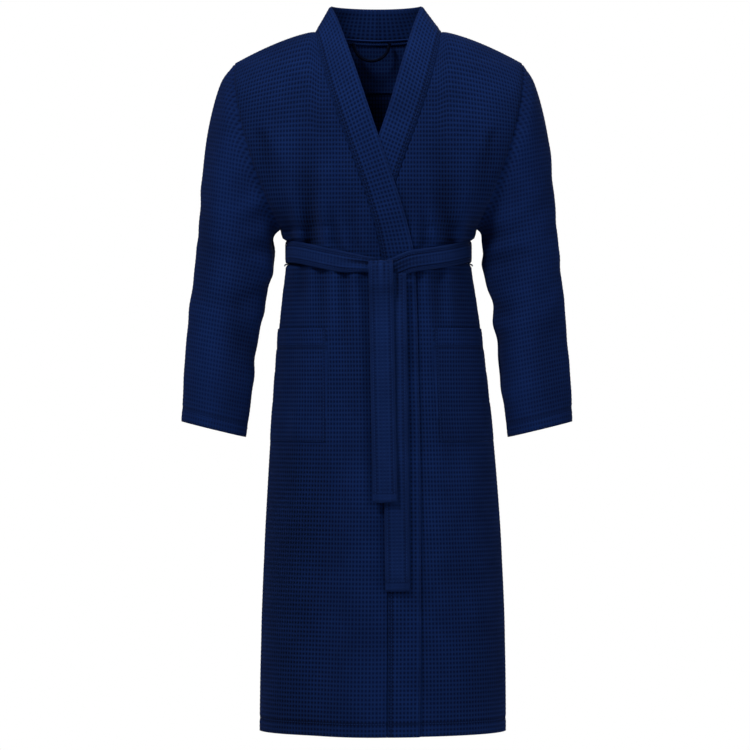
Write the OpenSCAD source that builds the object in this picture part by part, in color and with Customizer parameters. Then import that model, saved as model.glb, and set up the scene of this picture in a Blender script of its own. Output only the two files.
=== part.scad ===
// Wrap bathrobe in waffle cotton, shown worn and belted.
// Millimetres, +Z up. X runs across the robe with the wearer's left at +X, and the front faces -Y.
// The origin is on the floor of the hem, midway between the side seams of the waist.
// Every garment panel is a thin curved shell; neighbours that are sewn together keep a small gap.

/* [Body] */
// Height of the shoulder seam's neck end above the hem
neck_point_z = 1199; // [1150:1:1250]
// Half width of the hem
hem_half_width = 211; // [190:1:240]
// Half depth of the hem, front to back
hem_half_depth = 148; // [130:1:170]
// How much further the hem stands out behind than in front
hem_back_fullness = 14.4; // [0:0.1:25]
// How far the hem hangs to the wearer's left of the waist
hem_shift = 7.5; // [0:0.5:12]
// Height of the belted waist
waist_z = 800; // [780:1:820]
// Half width of the waist, just above and below the belt
waist_half_width = 158; // [145:1:175]
// Half depth of the waist under the belt
waist_half_depth = 112; // [100:1:125]
// Half depth of the chest
chest_half_depth = 131; // [120:1:145]
// Thickness of one layer of waffle cloth
cloth = 2.4; // [1.6:0.2:3]

/* [Shoulders and neck] */
// Half the distance between the two shoulder seam ends
shoulder_half_width = 245; // [235:1:255]
// How far the shoulder seam drops from the neck to the sleeve
shoulder_drop = 54; // [45:1:65]
// Half width of the neckline at the shoulder seams
neck_half_width = 106; // [95:1:115]
// Half depth of the neckline at the back
neck_half_depth = 66; // [60:1:75]
// Height of the armpit
armpit_z = 865; // [855:1:880]
// Half width of the body at the armpit
armpit_half_width = 168; // [160:1:175]
// Half depth of the armhole
armhole_half_depth = 88; // [80:1:95]

/* [Front band and collar] */
// Distance of the band's seam past the centre line, below the belt
band_seam_x = 11; // [5:1:20]
// Finished width of the front band
band_width = 54; // [45:1:60]
// Height of the collar's folded top edge above the shoulder seam
collar_rise = 41; // [35:1:50]
// Thickness of the folded band
band_thick = 4; // [3:0.2:5]

/* [Sleeves] */
// Half depth of the sleeve at its hem
cuff_half_depth = 54; // [45:1:60]
// Radius of the cut between the sleeve head and the swinging sleeve, about the shoulder joint
sleeve_cut_radius = 235; // [230:1:240]

/* [Pockets] */
// Height of the pocket's lower edge
pocket_z = 492; // [470:1:510]
// Height of the pocket
pocket_height = 202; // [180:1:210]
// Distance of the pocket's inner edge from the centre line
pocket_inner_x = 94; // [88:1:105]

/* [Belt] */
// Width of the belt
belt_width = 42; // [36:1:46]
// Thickness of the folded belt
belt_thick = 4; // [3:0.5:5]
// Height of the belt's centre line at the side seams
belt_side_z = 822; // [818:1:826]
// How far the belt dips to its knot
belt_dip = 30; // [20:1:35]
// How far the belt draws the side seams in
belt_pinch = 12; // [6:1:14]
// Height of the end of the front tail
outer_tail_end_z = 396; // [380:1:450]
// Height of the end of the back tail
inner_tail_end_z = 246; // [240:1:300]

/* [Hanging loop] */
// Radius of the loop's centre line
loop_radius = 31; // [26:1:34]
// Thickness of the loop's cord
loop_cord = 5; // [4:0.5:6]

/* [Hidden] */

RIGHT = -1;                                // the wearer's right side is at -X
LEFT = 1;
FRONT = -1;
BACK = 1;
navy = [0.045, 0.095, 0.26];
navy_light = [0.06, 0.12, 0.30];

gap = 0.8;                                 // room left between two sewn neighbours
overlap_lift = 5.6;                        // how far the upper front lies over the under front
shoulder_z = neck_point_z - shoulder_drop;
cap_z = 1120 / 1199 * neck_point_z;        // height above which the armhole edge runs straight up
chest_z = 960;                             // level of the deepest chest section
armhole_mid_z = (armpit_z + shoulder_z) / 2;
armhole_half_z = (shoulder_z - armpit_z) / 2;
back_neck_z = neck_point_z - 9;
collar_top_z = neck_point_z + collar_rise;
collar_top_half_width = neck_half_width - 26;
collar_top_half_depth = neck_half_depth - 4;
pivot = [190, 1080];                       // the wearer's shoulder joint, which the sleeve swings about
corner_top = [66, 235];                    // ends of the fold line of the front hem corner, as x and z
corner_foot = [-90, 0];
knot_x = 4;
knot_z = belt_side_z - belt_dip - 2;

// ---- small helpers ----
function mix(a, b, t) = a + (b - a) * t;
function clamp01(t) = min(1, max(0, t));
function smooth(t) = let (c = clamp01(t)) c * c * (3 - 2 * c);
function unit(v) = v / max(norm(v), 1e-9);

// Catmull-Rom curve through a list of stations, at k stations from its start
function spline(list, k) =
    let (n = len(list), i = min(n - 2, max(0, floor(k))), t = k - i,
         p0 = list[max(0, i - 1)], p1 = list[i], p2 = list[i + 1], p3 = list[min(n - 1, i + 2)])
    (2 * p1 + (p2 - p0) * t + (2 * p0 - 5 * p1 + 4 * p2 - p3) * t * t
        + (3 * p1 - p0 - 3 * p2 + p3) * t * t * t) / 2;

// ---- the worn body surface ----
function shift_x(z) = hem_shift * clamp01(1 - z / waist_z);

// How far the belt draws the sides in at a height: fully behind the belt, and not at all one belt width away
function pinch(z) = belt_pinch * (1 - smooth((abs(z - belt_side_z) - belt_width / 2) / (belt_width / 2)));

// Half width of the panels at a height: side seam, then armhole edge, then shoulder seam
function edge_x(z) = loose_edge_x(z) - pinch(z);
function loose_edge_x(z) =
    z <= waist_z ? hem_half_width - (hem_half_width - waist_half_width) * pow(max(z, 0) / waist_z, 2)
    : z <= armpit_z ? mix(waist_half_width, armpit_half_width, pow((z - waist_z) / (armpit_z - waist_z), 1.5))
    : z <= cap_z ? shoulder_half_width
        - (shoulder_half_width - armpit_half_width) * pow((cap_z - z) / (cap_z - armpit_z), 1.6)
    : z <= shoulder_z ? shoulder_half_width
    : mix(neck_half_width, shoulder_half_width, pow(max(0, neck_point_z - z) / shoulder_drop, 0.7));

// Height of the shoulder seam above a point across the shoulder
function seam_z(x) = neck_point_z
    - shoulder_drop * pow(clamp01((abs(x) - neck_half_width) / (shoulder_half_width - neck_half_width)), 1 / 0.7);

// Half depth of the body on its centre line; the back of the skirt is fuller than the front
function centre_depth(z, side = FRONT) =
    z <= waist_z ? let (hem = hem_half_depth + (side == BACK ? hem_back_fullness : 0))
        hem - (hem - waist_half_depth) * pow(max(z, 0) / waist_z, 2)
    : z <= chest_z ? mix(waist_half_depth, chest_half_depth, smooth((z - waist_z) / (chest_z - waist_z)))
    : mix(chest_half_depth, neck_half_depth, pow((z - chest_z) / (neck_point_z - chest_z), 1.8));

// Half depth of the armhole opening at a height
function armhole_depth(z) = abs(z - armhole_mid_z) >= armhole_half_z ? 0
    : armhole_half_depth * sqrt(1 - pow((z - armhole_mid_z) / armhole_half_z, 2));

// Half depth of the body at any point of its front or back
function depth_at(x, z, side = FRONT) = let (d = armhole_depth(z))
    d + (centre_depth(z, side) - d) * sqrt(max(0, 1 - pow(x / edge_x(z), 2))) + gap / 2;

function body_point(x, z, side) = [x + shift_x(z), side * depth_at(x, z, side), z];

// ---- front edge: the band's seam and its folded free edge, for the wearer's right front ----
// t is 0 at the waist and 1 at the shoulder seam
function seam_x_at(t) = mix(band_seam_x - 3, -neck_half_width, (t + (1 - cos(180 * t)) / 2) / 2);
function seam_x(z) = z <= waist_z ? band_seam_x - 3 * pow(max(z, 0) / waist_z, 4)
    : seam_x_at(clamp01((z - waist_z) / (neck_point_z - waist_z)));
function free_x_at(t) = mix(band_seam_x - 3 + band_width, -collar_top_half_width, pow(t, 1.3));

// ---- sheets: closed shells grown from a grid of points ----
function grid_normal(g, i, j) =
    let (n = len(g), m = len(g[0]),
         a = g[min(n - 1, i + 1)][j] - g[max(0, i - 1)][j],
         b = g[i][min(m - 1, j + 1)] - g[i][max(0, j - 1)])
    unit(cross(a, b));

function ring_normal(g, i, j) =
    let (n = len(g), m = len(g[0]),
         a = g[min(n - 1, i + 1)][j] - g[max(0, i - 1)][j],
         b = g[i][(j + 1) % m] - g[i][(j + m - 1) % m])
    unit(cross(a, b));

function two_triangles(a, b, c, d) = [[a, b, c], [a, c, d]];
function flat(list) = [for (l = list) each l];

// A thin closed shell whose two faces lie low and high away from the grid, along the grid's normals
module sheet(g, low, high) {
    n = len(g);
    m = len(g[0]);
    size = n * m;
    points = [for (off = [low, high]) for (i = [0:n - 1]) for (j = [0:m - 1])
        g[i][j] + grid_normal(g, i, j) * off];
    function at(side, i, j) = side * size + i * m + j;
    faces = flat([
        for (i = [0:n - 2]) for (j = [0:m - 2]) each [
            two_triangles(at(1, i, j), at(1, i, j + 1), at(1, i + 1, j + 1), at(1, i + 1, j)),
            two_triangles(at(0, i, j), at(0, i + 1, j), at(0, i + 1, j + 1), at(0, i, j + 1))],
        for (i = [0:n - 2]) each [
            two_triangles(at(0, i, 0), at(1, i, 0), at(1, i + 1, 0), at(0, i + 1, 0)),
            two_triangles(at(0, i, m - 1), at(0, i + 1, m - 1), at(1, i + 1, m - 1), at(1, i, m - 1))],
        for (j = [0:m - 2]) each [
            two_triangles(at(0, 0, j), at(0, 0, j + 1), at(1, 0, j + 1), at(1, 0, j)),
            two_triangles(at(0, n - 1, j), at(1, n - 1, j), at(1, n - 1, j + 1), at(0, n - 1, j + 1))]
    ]);
    polyhedron(points, faces, convexity = 6);
}

// A thin tube, open at both ends, from rings of points
module tube(g, low, high) {
    n = len(g);
    m = len(g[0]);
    size = n * m;
    points = [for (off = [low, high]) for (i = [0:n - 1]) for (j = [0:m - 1])
        g[i][j] + ring_normal(g, i, j) * off];
    function at(side, i, j) = side * size + i * m + j % m;
    faces = flat([
        for (i = [0:n - 2]) for (j = [0:m - 1]) each [
            two_triangles(at(1, i, j), at(1, i, j + 1), at(1, i + 1, j + 1), at(1, i + 1, j)),
            two_triangles(at(0, i, j), at(0, i + 1, j), at(0, i + 1, j + 1), at(0, i, j + 1))],
        for (j = [0:m - 1]) each [
            two_triangles(at(0, 0, j), at(0, 0, j + 1), at(1, 0, j + 1), at(1, 0, j)),
            two_triangles(at(0, n - 1, j), at(1, n - 1, j), at(1, n - 1, j + 1), at(0, n - 1, j + 1))]
    ]);
    polyhedron(points, faces, convexity = 6);
}

// ---- panels ----
skirt_rows = 7;
armhole_rows = 12;
function panel_heights(foot) = [
    for (k = [0:skirt_rows]) mix(foot, belt_side_z - belt_width * 1.2, k / skirt_rows),
    for (k = [-2:2]) belt_side_z + belt_width * 0.3 * k,
    for (k = [0:armhole_rows]) armhole_mid_z - armhole_half_z * cos(180 * k / armhole_rows)
];

back_columns = 16;
// Height of the back's top edge: the neckline between the shoulder seams, then the seams themselves
function back_top(x) = abs(x) < neck_half_width
    ? mix(back_neck_z, neck_point_z, pow(x / neck_half_width, 2))
    : max(seam_z(x), shoulder_z + 2);
function back_column(u) = [
    for (z = panel_heights(0)) body_point(edge_x(z) * sin(90 * u), z, BACK),
    for (k = [1:3]) let (x = shoulder_half_width * sin(90 * u), z = mix(shoulder_z, back_top(x), k / 3))
        body_point(x, z, BACK)
];

module back_panel() {
    grid = [for (i = [0:back_columns]) back_column(2 * i / back_columns - 1)];
    color(navy) sheet(grid, -cloth, 0);
}

// The upper front lies over the under front from the centre of the body to its own edge
function lift(side, x, z) = side == LEFT ? 0
    : overlap_lift * smooth((x + 130) / 50) * (1 - smooth((z - 1040) / 100));

function front_point(side, x, z) =
    let (p = body_point(-side * x, z, FRONT))
    [p[0], p[1] - lift(side, x, z), z];

// The fold line of the front hem corner, as a height above the hem
function fold_z(x) = corner_top[1] * (x - corner_foot[0]) / (corner_top[0] - corner_foot[0]);

front_columns = 9;
seam_rows = 4;
function front_heights(side, foot) = [
    each panel_heights(foot),
    for (k = [1:seam_rows]) mix(shoulder_z, neck_point_z - 2.5, k / seam_rows)
];

// w runs from the side seam to the seam of the band; x is taken as on the wearer's right front
function front_x(w, z) = let (e = edge_x(z)) e * sin(mix(-90, asin(seam_x(z) / e), w));
function front_foot(side, w) = side == LEFT ? 0
    : let (z = fold_z(front_x(w, 60)) + 2) max(0, z);

module front_panel(side) {
    grid = [for (i = [0:front_columns]) let (w = i / front_columns)
        [for (z = front_heights(side, front_foot(side, w))) front_point(side, front_x(w, z), z)]];
    color(navy) sheet(grid, side == RIGHT ? 0 : -cloth, side == RIGHT ? cloth : 0);
}

// The swinging corner of the upper front, below its fold line
module right_front_corner() {
    columns = 6;
    rows = 3;
    grid = [for (i = [0:columns]) let (x = mix(corner_foot[0] + 12, band_seam_x, i / columns))
        [for (k = [0:rows]) front_point(RIGHT, x, (fold_z(x) - 2) * k / rows)]];
    color(navy) sheet(grid, 0, cloth);
}

// ---- the front band, which turns into the collar round the neck ----
function band_seam_point(side, t) =
    let (z = mix(waist_z, neck_point_z, t), x = t >= 1 ? -neck_half_width : seam_x_at(t))
    front_point(side, x + gap, min(z, neck_point_z - 0.1));

function band_free_point(side, t) =
    let (z = mix(waist_z, collar_top_z, t), x = free_x_at(t),
         p = front_point(side, x, min(z, neck_point_z - 2)),
         fade = sqrt(max(0, 1 - pow(clamp01((z - 1080) / (collar_top_z - 1080)), 2))))
    [p[0], p[1] * fade, z];

// Band rib below the waist, between its seam and its free edge at one height
function skirt_rib(side, z) = [
    front_point(side, band_seam_x + gap - 3 * pow(z / waist_z, 4), z),
    front_point(side, band_seam_x + band_width - 3 * pow(z / waist_z, 4), z)
];
function neck_rib(side, t) = [band_seam_point(side, t), band_free_point(side, t)];
function collar_rib(side, turn) =
    let (x = neck_half_width * cos(turn), z = min(back_top(x), neck_point_z - 0.1))
    [
        [side * x, depth_at(x, z, BACK), z + cloth + gap],
        [side * collar_top_half_width * cos(turn), collar_top_half_depth * sin(turn), collar_top_z]
    ];

rib_steps = 3;
function rib_points(rib, bulge) = [for (k = [0:rib_steps]) let (s = k / rib_steps)
    mix(rib[0], rib[1], s) - [0, bulge * 4 * s * (1 - s), 0]];

neck_ribs = 16;
collar_ribs = 7;
skirt_ribs = 6;
function band_grid(side, foot_seam, foot_free) = [
    for (k = [0:skirt_ribs - 1]) let (s = k / skirt_ribs,
        a = skirt_rib(side, mix(foot_seam, waist_z, s)), b = skirt_rib(side, mix(foot_free, waist_z, s)))
        rib_points([a[0], b[1]], 1.2),
    for (k = [0:neck_ribs]) rib_points(neck_rib(side, k / neck_ribs), 1.2 * (1 - k / neck_ribs)),
    for (k = [1:collar_ribs]) rib_points(collar_rib(side, 89.6 * k / collar_ribs), 0)
];

module front_band(side) {
    foot = side == RIGHT;
    grid = band_grid(side,
        foot ? fold_z(band_seam_x) + 2 : 0,
        foot ? fold_z(band_seam_x + band_width) + 2 : 0);
    color(navy_light) sheet(grid, side == RIGHT ? -band_thick : 0, side == RIGHT ? 0 : band_thick);
}

// The lower end of the upper band, which swings with the front corner
module right_band_end() {
    ribs = 4;
    grid = [for (k = [0:ribs]) let (s = k / ribs,
        a = skirt_rib(RIGHT, (fold_z(band_seam_x) - 2) * s),
        b = skirt_rib(RIGHT, (fold_z(band_seam_x + band_width) - 2) * s))
        rib_points([a[0], b[1]], 1.2)];
    color(navy_light) sheet(grid, -band_thick, 0);
}

// ---- inside the neck ----
facing_depth = 84;
facing_columns = 8;
module back_neck_facing() {
    half = neck_half_width - 18;
    rows = 3;
    grid = [for (i = [0:facing_columns]) let (x = half * (2 * i / facing_columns - 1))
        [for (k = [0:rows]) let (z = back_neck_z - 6 - facing_depth * (1 - k / rows)
                * (1 - 0.35 * pow(x / half, 2)))
            body_point(x, z, BACK)]];
    color(navy) sheet(grid, 3.6, 5.2);
}

// Round cord bent into a half circle, its two ends sewn into the neck seam
loop_x = -12;
loop_y = neck_half_depth - 5;
module hanging_loop() {
    color(navy_light)
        translate([loop_x, loop_y, back_neck_z - 4])
            rotate([90, 0, 0])
                rotate([0, 0, 180])
                    rotate_extrude(angle = 180, $fn = 64)
                        translate([loop_radius, 0])
                            circle(d = loop_cord, $fn = 24);
}

// ---- sleeves: tubes between an outer and an inner edge line, as [x, z] down the sleeve ----
sleeve_outer = [[shoulder_half_width, shoulder_z], [271, 1111], [292, 1029], [304, 925],
    [312, 810], [324, 690], [336, 531]];
sleeve_inner = [[armpit_half_width, armpit_z], [178, 848], [180, 815], [187, 770],
    [200, 710], [212, 620], [225, 504]];
sleeve_depth = [armhole_half_depth, 84, 76, 69, 63, 58, cuff_half_depth];
sleeve_end = len(sleeve_outer) - 1;
armhole_gap = 5;                           // room between the sleeve and the armhole's edge

// One point of the sleeve on the wearer's left: k stations down, turned around its line
function sleeve_point(k, turn) =
    let (o = spline(sleeve_outer, k), i = spline(sleeve_inner, k), d = spline(sleeve_depth, k),
         c = (1 + cos(turn)) / 2,
         x = mix(i[0], o[0], c), z = mix(i[1], o[1], c),
         straight = mix(armpit_half_width, shoulder_half_width, c),
         bow = (edge_x(mix(armpit_z, shoulder_z, c)) - straight) * (1 - smooth(k / 3)))
    [x + bow + armhole_gap * clamp01(1 - k), d * sin(turn), z];

// Stations down the sleeve at which a line along it reaches a distance from the shoulder joint
function reach(turn, radius, low = 0, high = 6, steps = 18) = steps == 0 ? (low + high) / 2
    : let (m = (low + high) / 2, p = sleeve_point(m, turn), r = norm([p[0] - pivot[0], p[2] - pivot[1]]))
    r < radius ? reach(turn, radius, m, high, steps - 1) : reach(turn, radius, low, m, steps - 1);

sleeve_sides = 24;
module sleeve_tube(side, from_k, to_k, rings) {
    grid = [for (i = [0:rings]) [for (j = [0:sleeve_sides - 1]) let (turn = -360 * j / sleeve_sides,
        k = mix(from_k[j], to_k[j], i / rings), p = sleeve_point(k, turn)) p]];
    mirror([side == LEFT ? 0 : 1, 0, 0])
        tube(grid, 0, cloth);
}

head_cut = [for (j = [0:sleeve_sides - 1]) reach(-360 * j / sleeve_sides, sleeve_cut_radius - 1.6)];
sleeve_cut = [for (j = [0:sleeve_sides - 1]) reach(-360 * j / sleeve_sides, sleeve_cut_radius)];
all_start = [for (j = [0:sleeve_sides - 1]) 0];
all_end = [for (j = [0:sleeve_sides - 1]) sleeve_end];

module sleeve_head(side) {
    color(navy) sleeve_tube(side, all_start, head_cut, 7);
}
module sleeve(side) {
    color(navy) sleeve_tube(side, sleeve_cut, all_end, 8);
}

// ---- patch pockets, sewn on round to the side seam ----
module pocket(side) {
    columns = 7;
    rows = 5;
    grid = [for (i = [0:columns]) [for (k = [0:rows])
        let (z = pocket_z + pocket_height * k / rows, e = edge_x(z),
             turn = mix(86, asin((pocket_inner_x - 6 + 6 * (1 - k / rows)) / e), i / columns),
             p = front_point(side, -e * sin(turn), z)) p]];
    out = cloth + gap;
    color(navy_light)
        sheet(grid, side == RIGHT ? out : -out - cloth, side == RIGHT ? out + cloth : -out);
}

// ---- belt ----
belt_half_width = waist_half_width - 1;
function belt_x(turn) = belt_half_width * sin(turn);
function belt_centre_z(x) = belt_side_z - belt_dip * (1 - abs(x) / belt_half_width);
function belt_rib(turn) =
    let (front = cos(turn) > 0, x = belt_x(turn), z = front ? belt_centre_z(x) : belt_side_z,
         out = front ? 15 : 10,
         half = belt_width / 2 * (front ? mix(0.62, 0.9, smooth(abs(x) / 70)) : 0.9))
    [for (k = [-1:1]) [x, -(waist_half_depth + out) * cos(turn), z + k * half]];

// Both ends meet behind the knot
module belt_wrap() {
    steps = 40;
    start = 3;
    grid = [for (i = [0:steps]) belt_rib(mix(start, 360 - start + 3, i / steps))];
    color(navy_light) sheet(grid, -belt_thick / 2, belt_thick / 2);
}

// The flat knot in front of the belt
knot_y = -(waist_half_depth + 24);
module belt_knot() {
    thick = 7;
    r = 3;
    color(navy_light)
        translate([knot_x, knot_y, knot_z])
            rotate([90, 0, 0])
                linear_extrude(thick, center = true)
                    offset(r = r, $fn = 16)
                        square([44 - 2 * r, 42 - 2 * r], center = true);
}

// A tail hanging in front of the skirt; its top is rounded about the point it swings from
tail_round_rows = 5;
function tail_grid(x_top, x_end, z_pivot, z_end, out) =
    let (r = belt_width / 2, rows = 8,
         levels = [for (k = [0:rows - 1]) [mix(z_end, z_pivot, k / rows), r],
             for (k = [0:tail_round_rows - 1]) let (a = 86 * k / (tail_round_rows - 1))
                 [z_pivot + r * sin(a), r * cos(a)]])
    [for (s = [-1, 0, 1]) [for (l = levels)
        let (x = mix(x_end, x_top, (l[0] - z_end) / (z_pivot - z_end)))
        [x + s * l[1], -(centre_depth(l[0]) + out), l[0]]]];

module belt_tail(x_top, x_end, z_top, z_end, out) {
    color(navy_light) sheet(tail_grid(x_top, x_end, z_top - belt_width / 2, z_end, out), 0, belt_thick);
}
module belt_tail_outer() {
    belt_tail(knot_x + 0.5, knot_x + 7, knot_z - 22, outer_tail_end_z, 22);
}
module belt_tail_inner() {
    belt_tail(knot_x + 26, knot_x + 28, knot_z - 24, inner_tail_end_z, 14);
}

// Narrow strip sewn to the side seam above and below the belt
module belt_loop(side) {
    half = 26;
    strip = 2;
    out = 11;
    lean = 6.6;
    width = 8;
    inner = waist_half_width - belt_pinch + cloth + 2.6;
    outline = [[0, -half], [out, -half], [out, half], [lean, half], [lean, half - strip],
        [out - strip, half - strip], [out - strip, strip - half], [0, strip - half]];
    color(navy_light)
        translate([side * inner, 0, belt_side_z])
            rotate([90, 0, 0])
                linear_extrude(width, center = true)
                    mirror([side == LEFT ? 0 : 1, 0])
                        polygon(outline);
}

back_panel();
front_panel(RIGHT);  // right_front_panel
right_front_corner();
front_panel(LEFT);  // left_front_panel
front_band(RIGHT);  // right_front_band
right_band_end();
front_band(LEFT);  // left_front_band
back_neck_facing();
hanging_loop();
sleeve_head(RIGHT);  // right_sleeve_head
sleeve(RIGHT);  // right_sleeve
sleeve_head(LEFT);  // left_sleeve_head
sleeve(LEFT);  // left_sleeve
pocket(RIGHT);  // right_pocket
pocket(LEFT);  // left_pocket
belt_loop(RIGHT);  // right_belt_loop
belt_loop(LEFT);  // left_belt_loop
belt_wrap();
belt_knot();
belt_tail_outer();
belt_tail_inner();
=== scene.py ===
"""Navy waffle bathrobe, shown worn and belted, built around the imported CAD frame.

Lengths in this script are millimetres until a mesh is made, in the same frame as the CAD:
X runs across the robe with the wearer's left at +X, the front faces -Y, and Z is up from the hem.
"""

import math

import bpy
import numpy as np
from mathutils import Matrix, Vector
from mathutils.bvhtree import BVHTree


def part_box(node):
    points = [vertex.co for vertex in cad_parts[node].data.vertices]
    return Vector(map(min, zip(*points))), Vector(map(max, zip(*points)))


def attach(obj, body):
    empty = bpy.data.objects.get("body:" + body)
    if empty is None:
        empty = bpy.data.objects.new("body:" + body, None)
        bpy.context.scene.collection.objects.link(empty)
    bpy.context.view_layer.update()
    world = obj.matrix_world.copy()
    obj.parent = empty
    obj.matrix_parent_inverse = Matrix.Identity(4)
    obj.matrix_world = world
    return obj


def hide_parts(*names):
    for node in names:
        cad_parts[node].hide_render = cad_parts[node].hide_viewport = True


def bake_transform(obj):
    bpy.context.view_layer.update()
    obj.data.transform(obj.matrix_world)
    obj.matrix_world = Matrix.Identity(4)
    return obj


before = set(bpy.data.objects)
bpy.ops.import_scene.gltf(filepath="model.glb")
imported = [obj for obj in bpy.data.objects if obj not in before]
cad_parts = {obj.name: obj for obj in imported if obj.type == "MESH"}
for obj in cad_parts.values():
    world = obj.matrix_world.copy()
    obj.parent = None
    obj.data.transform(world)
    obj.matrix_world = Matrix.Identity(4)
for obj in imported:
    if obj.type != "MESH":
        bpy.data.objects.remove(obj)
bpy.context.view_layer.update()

MM = 0.001
FRONT = -1
BACK = 1
RIGHT = -1
LEFT = 1

SIDES = {"right": RIGHT, "left": LEFT}
MIRROR = np.array([-1, 1, 1])
PIECES = {}               # every piece of the robe by its name


# ---------------------------------------------------------------- sizes
def node_box(name):
    """Lowest and highest corners of a CAD node, in millimetres."""
    low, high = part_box(name)
    return np.array(low) / MM, np.array(high) / MM


NECK_Z = node_box("right_front_panel")[1][2] + 0.2
COLLAR_TOP_Z = node_box("left_front_band")[1][2] + 2.0
TAIL_OUTER_END = node_box("belt_tail_outer")[0][2]
TAIL_INNER_END = node_box("belt_tail_inner")[0][2]
POCKET_Z, POCKET_TOP = node_box("right_pocket")[0][2], node_box("right_pocket")[1][2]

HEM_HALF_WIDTH = 211.0
HEM_HALF_DEPTH = 148.0
HEM_BACK_FULLNESS = 14.4
HEM_SHIFT = 7.5
WAIST_Z = 800.0
WAIST_HALF_WIDTH = 158.0
WAIST_HALF_DEPTH = 112.0
CHEST_Z = 960.0
CHEST_HALF_DEPTH = 131.0
SHOULDER_HALF_WIDTH = 245.0
SHOULDER_DROP = 54.0
SHOULDER_Z = NECK_Z - SHOULDER_DROP
CAP_Z = 1120.0
NECK_HALF_WIDTH = 106.0
NECK_HALF_DEPTH = 66.0
BACK_NECK_Z = NECK_Z - 9.0
COLLAR_TOP_HALF_WIDTH = NECK_HALF_WIDTH - 26.0
COLLAR_TOP_HALF_DEPTH = NECK_HALF_DEPTH - 4.0
ARMPIT_Z = 865.0
ARMPIT_HALF_WIDTH = 168.0
ARMHOLE_HALF_DEPTH = 88.0
ARMHOLE_MID_Z = (ARMPIT_Z + SHOULDER_Z) / 2
ARMHOLE_HALF_Z = (SHOULDER_Z - ARMPIT_Z) / 2
BAND_SEAM_X = 11.0
BAND_WIDTH = 54.0
BELT_WIDTH = 42.0
BELT_SIDE_Z = 822.0
BELT_DIP = 30.0
BELT_PINCH = 12.0
KNOT_X = 4.0
KNOT_Z = BELT_SIDE_Z - BELT_DIP - 2.0
UPPER_LIFT = 5.6          # how far the upper front lies over the under front
UNDER_SINK = 3.0          # how far the under front is pressed in where it is covered
SKIRT_SWAY = 3.5          # the skirt's middle line bows this far towards the wearer's left
FLUTE_DEPTH = {FRONT: 2.6, BACK: 4.0}     # of the broad flutes of the hanging skirt

# ---------------------------------------------------------------- the weave
CELL_WIDE = 6.2           # one waffle cell, across and along the cloth
CELL_TALL = 7.5
HALF_WIDE = CELL_WIDE / 2
HALF_TALL = CELL_TALL / 2
RIDGE = 0.75              # height of the crossing ridges above the middle of the cloth
RIDGE_MID = 0.45          # height of a ridge half way between two crossings
PIT = -1.05               # depth of the middle of a cell
GATHER = 0.15             # share of their distance by which the columns draw together under the belt
GATHERED_Z = 640.0        # height from which they are fully drawn together


# ---------------------------------------------------------------- small helpers
def clamp01(t):
    return np.clip(t, 0.0, 1.0)


def smooth(t):
    c = clamp01(t)
    return c * c * (3 - 2 * c)


def mix(a, b, t):
    return a + (b - a) * t


def unit(v):
    return v / np.maximum(np.linalg.norm(v, axis=-1, keepdims=True), 1e-9)


def spline(stations, k):
    """Catmull-Rom curve through a list of stations, k counted in stations from its start."""
    p = np.asarray(stations, float)
    k = np.asarray(k, float)
    last = len(p) - 1
    i = np.clip(np.floor(k).astype(int), 0, last - 1)
    t = k - i
    if p.ndim > 1:
        t = t[..., None]
    p0 = p[np.maximum(i - 1, 0)]
    p1 = p[i]
    p2 = p[i + 1]
    p3 = p[np.minimum(i + 2, last)]
    return 0.5 * (2 * p1 + (p2 - p0) * t + (2 * p0 - 5 * p1 + 4 * p2 - p3) * t**2
                  + (3 * p1 - p0 - 3 * p2 + p3) * t**3)


def arc_length(path):
    """Distance along a path at each of its points."""
    return np.concatenate([[0], np.cumsum(np.linalg.norm(np.diff(path, axis=0), axis=1))])


def resample(at, s, values):
    """Points or directions that are known at distances s, read at the distances in at."""
    return np.stack([np.interp(at, s, values[:, c]) for c in range(3)], -1)


def smooth_path(p, passes):
    q = p.copy()
    for _ in range(passes):
        q[1:-1] = (q[:-2] + 2 * q[1:-1] + q[2:]) / 4
    return q


def soft_noise(x, z, scale, seed):
    """Slow, smooth, repeatable noise between about -1 and 1."""
    out = 0.0
    gen = np.random.default_rng(seed)
    for _ in range(6):
        angle = gen.uniform(0, math.pi)
        phase = gen.uniform(0, 2 * math.pi)
        stretch = gen.uniform(0.7, 1.5)
        along = x * math.cos(angle) + z * math.sin(angle)
        out = out + np.sin(along * stretch * 2 * math.pi / scale + phase)
    return out / 3.0


def xyz(x, y, z):
    """Points from their three coordinates, any of which may be one number for all."""
    return np.stack(np.broadcast_arrays(x, y, z), -1)


def add_object(name, data):
    obj = bpy.data.objects.new(name, data)
    bpy.context.scene.collection.objects.link(obj)
    return obj


def plain_mesh(name, points, faces):
    mesh = bpy.data.meshes.new(name)
    mesh.from_pydata(points, [], faces)
    return mesh


# ---------------------------------------------------------------- the worn body surface
def pinch(z):
    """How far the belt draws the sides in at a height."""
    return BELT_PINCH * (1 - smooth((np.abs(z - BELT_SIDE_Z) - 14) / 13))


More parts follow.
